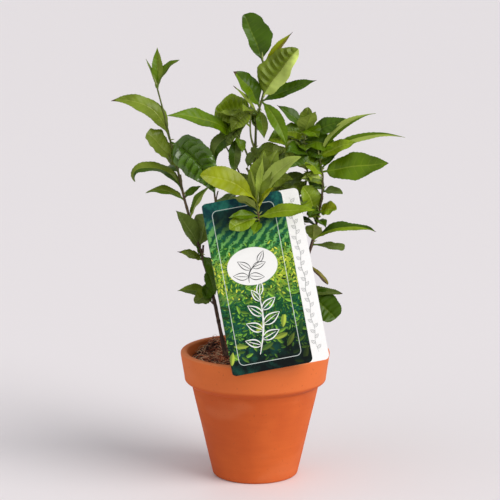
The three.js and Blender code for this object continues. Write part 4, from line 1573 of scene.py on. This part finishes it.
# %% [markdown]
# ## The card
# The bush hangs out its own folded card: one sheet, printed on its outside and left white inside. Its front
# leaf is narrower, so a white strip of the back leaf shows at the right. The sheet is modelled flat, as it
# leaves the printer. Its corners are rounded and the slot for the bough is cut, then it is folded double,
# thickened and leant on the pot. Its sizes are in millimetres, and the card is brought to metres when it is
# leant. Two flat boxes would do from afar, but the real fold is round and the print runs round it.

# %% Sizes of the sheet
CARD_WIDTH = 81
FRONT_WIDTH = 67
CARD_HEIGHT = 145
CARD_CORNER = 4
CARD_SHEET = 0.5  # thickness
FOLD_RADIUS = 1.2
SLOT_MIDDLE = (-2.5, 123.5)  # across from the folded card's middle, and up
SLOT_SIZE = (9, 11)

fold_turn = math.pi * FOLD_RADIUS
left_end = -(FRONT_WIDTH - FOLD_RADIUS + fold_turn / 2)
right_end = CARD_WIDTH - FOLD_RADIUS + fold_turn / 2
slots = [-(SLOT_MIDDLE[0] + CARD_WIDTH / 2), SLOT_MIDDLE[0] + CARD_WIDTH / 2]
print(f"flat sheet: {right_end - left_end:.0f} by {CARD_HEIGHT} mm")

# %% [markdown]
# The flat sheet lies with its fold on the line x = 0, the front leaf to the left and the back leaf to the
# right. It is cut finely across the fold and beside it, and every few millimetres elsewhere.

# %% Cut the flat sheet
CUTS_OF_FOLD = 9
CUTS_BESIDE_FOLD = (0.6, 1.3, 2.8, 3.9)  # for the rounded corners there
CUT_STEP = 4
CUT_STEP_UP = 5


def sheet_cut(place, along):
    """Cuts across the whole sheet, on an upright line or a level one."""
    bpy.ops.mesh.select_all(action="SELECT")
    co = (place, 0, 0) if along == "upright" else (0, place, 0)
    no = (1, 0, 0) if along == "upright" else (0, 1, 0)
    bpy.ops.mesh.bisect(plane_co=co, plane_no=no)


clear_selection()
bpy.ops.mesh.primitive_plane_add(size=1, location=((left_end + right_end) / 2, CARD_HEIGHT / 2, 0))
card = bpy.context.object
card.name = "folded_card"
card.scale = (right_end - left_end, CARD_HEIGHT, 1)
place_here(card)
start_edit(card)
bpy.ops.mesh.select_all(action="SELECT")
bpy.ops.mesh.bevel(offset=CARD_CORNER, segments=6, affect="VERTICES")
for line in [s + side * SLOT_SIZE[0] / 2 for s in slots for side in (-1, 1)]:
    sheet_cut(line, "upright")
for side in (-1, 1):
    sheet_cut(SLOT_MIDDLE[1] + side * SLOT_SIZE[1] / 2, "level")
for line in np.linspace(-fold_turn / 2, fold_turn / 2, CUTS_OF_FOLD):
    sheet_cut(float(line), "upright")
for inset in CUTS_BESIDE_FOLD:
    sheet_cut(inset, "upright")
    sheet_cut(-inset, "upright")
for line in np.arange(left_end + 4.5, right_end, CUT_STEP):
    sheet_cut(float(line), "upright")
for line in np.arange(CUT_STEP_UP, CARD_HEIGHT, CUT_STEP_UP):
    sheet_cut(float(line), "level")


def in_slot(face):
    middle = face.calc_center_median()
    level = abs(middle.y - SLOT_MIDDLE[1]) < SLOT_SIZE[1] / 2
    return level and min(abs(middle.x - s) for s in slots) < SLOT_SIZE[0] / 2


pick("faces", in_slot)
bpy.ops.mesh.delete(type="FACE")
end_edit()
print("flat sheet:", len(card.data.polygons), "faces, with a slot in each leaf")

# %% [markdown]
# ## The print
# Where nothing is printed the card is white, with the faintest fibre in it.

# %% White card
white_card = Finish("white_card", paint(250, 250, 248), 0.5, Specular_IOR_Level=0.3)
fibre = white_card.clouds(white_card.object_place(), 800, 3)
fibre = white_card.span(fibre, 0.3, 0.7, 0, 0.5)
white_card.colour(white_card.mix(fibre, paint(250, 250, 249), paint(242, 242, 239)))
card.data.materials.append(white_card.material)
print("inside of the card:", white_card.material.name)

# %% [markdown]
# The print is a design of its own: small leaves in many greens, row behind row, under a dark sky and darker
# again at the foot, with a thin line round it. It is worked out from the sheet's own map, in card heights
# across and up from the fold, so it folds with the sheet. A layer of leaves is a cell pattern with one
# pointed lens to a cell, turned its own way and shaded on one side of its midrib. It could be a painted
# picture, but a pattern stays sharp at any size and needs no file.

# %% Layers of printed leaves
LENS_LENGTH = 0.56  # half of it, as a share of a cell
LENS_WIDTH = 0.2

print_ink = Finish("card_print", paint(30, 92, 60), 0.4, Specular_IOR_Level=0.15)
sheet_map = print_ink.add("UVMap", {"uv_map": "print_map"}).outputs["UV"]
spot = print_ink.add("SeparateXYZ", Vector=sheet_map).outputs
across_front = print_ink.math("MULTIPLY", spot["X"], -1.0)


def printed_leaves(scale, heading, spread, dark, light):
    """A layer of lenses, two-toned along the midrib: its colour, where its lenses are, and their luck."""
    grid = print_ink.add("Mapping", i0=sheet_map)
    grid.inputs["Scale"].default_value = (scale, scale, 1)
    grid.inputs["Location"].default_value = (spread * 0.1, heading * 0.013, 0)
    cells = print_ink.add("TexVoronoi", {"voronoi_dimensions": "2D"}, Vector=grid.outputs["Vector"],
                          Scale=1.0)
    luck = print_ink.add("SeparateColor", i0=cells.outputs["Color"]).outputs
    local = print_ink.add("VectorMath", {"operation": "SUBTRACT"}, i0=grid.outputs["Vector"],
                          i1=cells.outputs["Position"]).outputs["Vector"]
    turn = print_ink.math("MULTIPLY", print_ink.math("SUBTRACT", luck[0], 0.5), math.radians(spread))
    turn = print_ink.math("ADD", turn, math.radians(heading))
    turned = print_ink.add("VectorRotate", {"rotation_type": "Z_AXIS"}, Vector=local, Angle=turn)
    lens = print_ink.add("SeparateXYZ", Vector=turned.outputs["Vector"]).outputs
    lengthwise = print_ink.math("DIVIDE", lens["X"], LENS_LENGTH)
    sideways = print_ink.math("DIVIDE", print_ink.math("ABSOLUTE", lens["Y"]), LENS_WIDTH)
    reach = print_ink.math("ADD", print_ink.math("MULTIPLY", lengthwise, lengthwise), sideways)
    green = print_ink.mix(luck[1], dark, light)
    shaded = print_ink.mix(print_ink.span(lens["Y"], -0.05, 0.05, 0, 0.55), green, dark)
    return shaded, print_ink.span(reach, 0.75, 1.0, 1, 0), luck[2]


print("a printed leaf is", 2 * LENS_LENGTH, "cells long and", 2 * LENS_WIDTH, "wide")

# %% [markdown]
# The ground runs from nearly black at the foot through greens to a blue-green sky. Haze drifts over it,
# and patches of yellow-green brighten its middle.

# %% Ground of the print
GROUND = [  # card heights up from the foot, and the colour there
    (0.0, paint(6, 12, 14)),
    (0.14, paint(8, 30, 26)),
    (0.36, paint(14, 70, 40)),
    (0.58, paint(60, 112, 30)),
    (0.72, paint(30, 96, 40)),
    (0.86, paint(12, 66, 62)),
    (1.0, paint(10, 52, 66)),
]
ramp = print_ink.add("ValToRGB", Fac=spot["Y"])
while len(ramp.color_ramp.elements) < len(GROUND):
    ramp.color_ramp.elements.new(0.5)
for element, (position, tint) in zip(ramp.color_ramp.elements, GROUND):
    element.position = position
    element.color = tint
haze = print_ink.clouds(print_ink.object_place(), 90, 5, 0.65)
hazy = print_ink.math("MULTIPLY", print_ink.span(haze, 0.4, 0.66),
                      print_ink.span(spot["Y"], 0.76, 0.86, 0.25, 0.8))
printed = print_ink.mix(hazy, ramp.outputs["Color"], paint(44, 128, 108))

bright = print_ink.clouds(print_ink.object_place(), 60, 4, 0.6)
bright = print_ink.math("MULTIPLY", print_ink.span(bright, 0.42, 0.56), print_ink.span(spot["Y"], 0.40, 0.5))
bright = print_ink.math("MULTIPLY", bright, print_ink.span(spot["Y"], 0.70, 0.62, 0, 0.8))
printed = print_ink.mix(bright, printed, paint(168, 190, 52))
print("ground of the print:", len(ramp.color_ramp.elements), "stops")

# %% [markdown]
# Far rows of bushes run over a slope near the top. In front of them lie six layers of leaves, each larger
# than the last, and each thick between a foot and a head, in card heights.

# %% Bushes and leaves of the print
LEAF_LAYERS = [
    # cells to a card height, heading, spread, dark, light, foot, head, share of the cells that hold a leaf
    (60, 20, 160, paint(6, 30, 20), paint(66, 142, 52), 0.12, 0.74, 1.0),
    (46, -40, 170, paint(8, 48, 26), paint(140, 200, 66), 0.10, 0.70, 0.7),
    (40, 70, 150, paint(118, 160, 36), paint(240, 238, 90), 0.42, 0.66, 0.85),
    (30, 10, 170, paint(6, 32, 20), paint(128, 192, 68), 0.08, 0.56, 0.5),
    (19, -20, 120, paint(6, 40, 24), paint(160, 216, 72), 0.03, 0.44, 0.45),
    (12, 40, 100, paint(12, 70, 36), paint(216, 236, 86), 0.02, 0.30, 0.5),
]
slope = print_ink.add("TexWave", {"bands_direction": "DIAGONAL"}, Vector=sheet_map, Scale=10, Distortion=8,
                      Detail=8, i5=0.75)
far_rows = print_ink.math("MULTIPLY", print_ink.span(spot["Y"], 0.60, 0.68),
                          print_ink.span(spot["Y"], 0.94, 0.80))
far_rows = print_ink.math("MULTIPLY", far_rows, print_ink.span(slope.outputs["Fac"], 0.35, 0.95, 0, 0.85))
printed = print_ink.mix(far_rows, printed, paint(120, 186, 96))
for scale, heading, spread, dark, light, foot, head, share in LEAF_LAYERS:
    green, inside, luck = printed_leaves(scale, heading, spread, dark, light)
    thick = print_ink.math("MULTIPLY", print_ink.span(spot["Y"], foot - 0.05, foot + 0.08),
                           print_ink.span(spot["Y"], head + 0.08, head - 0.06))
    present = print_ink.math("GREATER_THAN", print_ink.math("MULTIPLY", thick, share), luck)
    printed = print_ink.mix(print_ink.math("MULTIPLY", inside, present), printed, green)
print("layers of leaves in the print:", len(LEAF_LAYERS))

# %% [markdown]
# A thin white line runs round the front, with rounded corners. Inside it the print darkens towards the top,
# and all of it darkens in the lower corner beside the strip.

# %% Line round the print
FRONT_MIDDLE = FRONT_WIDTH / 2 / CARD_HEIGHT
FRAME_INSET = 0.052
FRAME_CORNER = 0.03
FRAME_LINE = 0.0022


def beyond(value, middle, half):
    """How far a value lies from the middle beyond a half size, or nothing."""
    off = print_ink.math("ABSOLUTE", print_ink.math("SUBTRACT", value, middle))
    return print_ink.math("MAXIMUM", print_ink.math("SUBTRACT", off, half), 0.0)


dx = beyond(across_front, FRONT_MIDDLE, FRONT_MIDDLE - FRAME_INSET - FRAME_CORNER)
dy = beyond(spot["Y"], 0.5, 0.5 - FRAME_INSET - FRAME_CORNER)
corner_reach = print_ink.math("ADD", print_ink.math("MULTIPLY", dx, dx), print_ink.math("MULTIPLY", dy, dy))
off_line = print_ink.math("SUBTRACT", print_ink.math("SQRT", corner_reach), FRAME_CORNER)
within = print_ink.span(off_line, -0.01, 0.0, 1, 0)
dusk = print_ink.math("MULTIPLY", print_ink.span(spot["Y"], 0.79, 0.86, 0, 0.78), within)
printed = print_ink.mix(dusk, printed, paint(6, 16, 18))
lower_corner = print_ink.math("MULTIPLY", print_ink.span(spot["Y"], 0.06, 0.30, 0.8, 0),
                              print_ink.span(across_front, FRONT_MIDDLE * 0.9, FRONT_MIDDLE * 1.6))
printed = print_ink.mix(lower_corner, printed, paint(8, 14, 12))
line = print_ink.span(print_ink.math("ABSOLUTE", off_line), FRAME_LINE / 2, FRAME_LINE, 0.8, 0)
printed = print_ink.mix(line, printed, paint(226, 234, 228))
print(f"the line lies {FRAME_INSET * CARD_HEIGHT:.1f} mm inside the edge")

# %% [markdown]
# A white oval above the middle keeps a place clear for a drawn sprig.

# %% Oval of the print
OVAL = (FRONT_MIDDLE - 0.005, 0.60, 0.145, 0.108)  # middle and half sizes of the white oval, in card heights
ox = print_ink.math("DIVIDE", print_ink.math("SUBTRACT", across_front, OVAL[0]), OVAL[2])
oy = print_ink.math("DIVIDE", print_ink.math("SUBTRACT", spot["Y"], OVAL[1]), OVAL[3])
round_reach = print_ink.math("ADD", print_ink.math("MULTIPLY", ox, ox), print_ink.math("MULTIPLY", oy, oy))
printed = print_ink.mix(print_ink.span(round_reach, 0.97, 1.03, 1, 0), printed, paint(240, 240, 238))
print_ink.colour(printed)
card.data.materials.append(print_ink.material)
print("finishes of the card:", [material.name for material in card.data.materials])

# %% [markdown]
# ## Folding the card
# The front leaf springs a little towards the back leaf at its free edge, and bows in the middle of its
# height. Its corners are rounded at the fold too, as if both leaves were cut together.

# %% Fold the sheet
FRONT_DEPTH = 3.1  # how far the front leaf's inside stands out at the fold
SPRING = 1.0
BOW = 0.2


def fold_point(x, y):
    """Where a point of the flat sheet comes to lie once it is folded: across, up, and out of the card."""
    crease = FOLD_RADIUS - CARD_WIDTH / 2
    if x < -fold_turn / 2:
        across = crease - fold_turn / 2 - x
        spring = SPRING * (across + CARD_WIDTH / 2) / FRONT_WIDTH
        bow = BOW * math.sin(math.pi * y / CARD_HEIGHT)
        return across, y, FRONT_DEPTH - spring + bow
    if x > fold_turn / 2:
        return crease - fold_turn / 2 + x, y, FRONT_DEPTH - 2 * FOLD_RADIUS
    turn = x / FOLD_RADIUS
    return crease - FOLD_RADIUS * math.cos(turn), y, FRONT_DEPTH - FOLD_RADIUS * (1 + math.sin(turn))


def corner_drop(inset):
    """How far the edge has drawn in at this distance from a rounded corner's side."""
    return CARD_CORNER - math.sqrt(CARD_CORNER ** 2 - max(0, CARD_CORNER - inset) ** 2)


flat = read_points(card.data)
for point in flat:
    drop = corner_drop(abs(point[0]))
    point[1] = min(max(point[1], drop), CARD_HEIGHT - drop)
corner = np.empty(len(card.data.loops), np.int32)
card.data.loops.foreach_get("vertex_index", corner)
print_map = card.data.uv_layers[0]
print_map.name = "print_map"
print_map.uv.foreach_set("vector", (flat[corner][:, :2] / CARD_HEIGHT).astype(np.float32).ravel())
write_points(card.data, [fold_point(x, y) for x, y, _ in flat])
print("folded sheet:", len(flat), "points")

# %% [markdown]
# The thickness is added on the outside, which takes the printed finish. The card then stands on the front
# of the rim, leans back, and is rolled a little in its own plane. A modifier adds the thickness, because
# that also gives the outer edge and the slot their walls.

# %% Thicken it and lean it on the pot
CARD_ROLL = 10.5
CARD_LEAN = 14
RIM_FRONT = -65  # where the rim's front lies
FOOT_GAP = 3.75  # in front of it
FOOT_ACROSS = 21.5
FOOT_UP = 110.5
REST_HEIGHT = 110  # where the card rests against the rim

take(card)
thicken = card.modifiers.new("thicken", "SOLIDIFY")
thicken.thickness = CARD_SHEET
thicken.offset = -1
thicken.material_offset = 1
bpy.ops.object.modifier_apply(modifier="thicken")

lean_shift = (FOOT_UP - REST_HEIGHT) * math.tan(math.radians(CARD_LEAN))
card_foot = Vector((FOOT_ACROSS, RIM_FRONT - FOOT_GAP + lean_shift, FOOT_UP)) * MM
card_place = Matrix.Translation(card_foot) @ Matrix.Rotation(math.radians(90 - CARD_LEAN), 4, "X")
card_place @= Matrix.Rotation(math.radians(CARD_ROLL), 4, "Z") @ Matrix.Scale(MM, 4)
card.data.transform(card_place)
take(card)
bpy.ops.object.shade_smooth_by_angle(angle=math.radians(30))
hand_over(card, "card", "hang_card")

# %% [markdown]
# ## Drawings on the card
# Each pen stroke is a thin closed strip of ink that lies just proud of the sheet, laid on by the same fold
# as the sheet. A drawn leaf is two bowed strokes and a midrib. The strokes could be worked into the print,
# but a thin curved line is far easier to lay as a strip.

# %% Pen strokes
STROKE = 0.6
INK = 0.1


def stroke(gathered, line, width, base):
    """One pen stroke along a line of flat places, narrower at its ends: a thin closed strip."""
    line = np.asarray(line, float)
    run = np.gradient(line, axis=0)
    side = np.column_stack([-run[:, 1], run[:, 0]]) / np.linalg.norm(run, axis=1)[:, None]
    half = width / 2 * (0.35 + 0.65 * np.sin(np.pi * np.linspace(0, 1, len(line))))
    points = []
    for place, across, reach in zip(line, side, half):
        for way, height in ((1, 0), (-1, 0), (-1, INK), (1, INK)):
            x, y, z = fold_point(*(place + across * way * reach))
            points.append((x, y, z + base + height))
    for place in (line[0], line[-1]):
        x, y, z = fold_point(*place)
        points.append((x, y, z + base + INK / 2))
    gathered.add(points, tube_faces(4, len(line)))


def drawn_leaf(gathered, foot, heading, length, width, pen, base):
    """A leaf in two bowed strokes and a midrib, from its foot towards a heading."""
    share = np.linspace(0, 1, 11)
    run = np.array([math.cos(math.radians(heading)), math.sin(math.radians(heading))])
    side = np.array([-run[1], run[0]])
    bow = width / 2 * np.sin(np.pi * share ** 0.8)
    for way in (-1, 1):
        stroke(gathered, foot + np.outer(share * length, run) + np.outer(way * bow, side), pen, base)
    stroke(gathered, foot + np.outer(share[:9] * length, run), pen * 0.7, base)


def lay_on(gathered, name, ink_name, tint):
    """Makes one mesh of the strokes, in ink of one tint, and lays it on the leaning card."""
    ink = Finish(ink_name, tint, 0.5)
    ink.gloss(ink.span(ink.clouds(ink.object_place(), 500, 2), 0.3, 0.7, 0.4, 0.6))
    drawing = gathered.build(name, [ink.material])
    drawing.data.transform(card_place)
    hand_over(drawing, "card")


print("a pen stroke is", STROKE, "mm wide and", INK, "mm high")

# %% [markdown]
# In the oval stands a drawn sprig: a stem and a few leaves, in thin black strokes.

# %% Sprig in the oval
FRONT_FACE = CARD_SHEET + 0.02
SMALL_LEAVES = [  # place up the stem, heading, length, width
    (5, 12, 13, 6), (6, 194, 13, 5.8), (12, 40, 13, 5.4), (14, 166, 12, 5.2), (20, 124, 11, 4.6),
]
small_sprig = Gatherer()
foot = np.array([-OVAL[0] * CARD_HEIGHT + 5, (OVAL[1] - 0.09) * CARD_HEIGHT])
share = np.linspace(0, 1, 21)[:, None]
stem_line = foot + share * np.array([-10, 15]) + np.sin(np.pi * share) * np.array([2.8, 1.4])
stroke(small_sprig, stem_line, STROKE * 1.4, FRONT_FACE)
for place, heading, length, width in SMALL_LEAVES:
    drawn_leaf(small_sprig, stem_line[place], heading, length, width, STROKE, FRONT_FACE)
lay_on(small_sprig, "card_sprig", "black_ink", paint(28, 30, 28))

# %% [markdown]
# Below it stands a taller one in white, in broader strokes.

# %% Tall sprig
TALL_LEAVES = [  # place up the stem, heading, length, width
    (3, 24, 14, 6), (5, 160, 16, 7), (8, 30, 15, 7), (10, 152, 17, 7.5), (13, 42, 15, 6.5),
    (15, 146, 15, 6.5), (18, 60, 12, 5), (20, 104, 13, 5),
]
tall_sprig = Gatherer()
foot = np.array([-26, 14])
stem_line = foot + share * np.array([-8, 48]) + np.sin(np.pi * share) * np.array([-3, 0])
stroke(tall_sprig, stem_line, STROKE * 2.4, FRONT_FACE)
for place, heading, length, width in TALL_LEAVES:
    drawn_leaf(tall_sprig, stem_line[place], heading, length, width, STROKE * 1.7, FRONT_FACE)
lay_on(tall_sprig, "card_tall_sprig", "white_ink", paint(238, 240, 236))

# %% [markdown]
# A thin grey vine runs up the strip of the back leaf that shows, with leaves to the left and right in turn.

# %% Vine on the strip
BACK_FACE = 0.02
border_vine = Gatherer()
rise = np.linspace(7, CARD_HEIGHT - 7, 120)
vine = np.column_stack([FRONT_WIDTH + 6.4 + 0.7 * np.sin(rise / 3.4), rise])
stroke(border_vine, vine, STROKE * 0.6, BACK_FACE)
for step in range(3, 117, 4):
    way = 1 if step % 8 == 3 else -1
    drawn_leaf(border_vine, vine[step], 90 - way * 48, 4.6, 2.2, STROKE * 0.6, BACK_FACE)
lay_on(border_vine, "card_border_vine", "grey_ink", paint(160, 162, 160))

# %% [markdown]
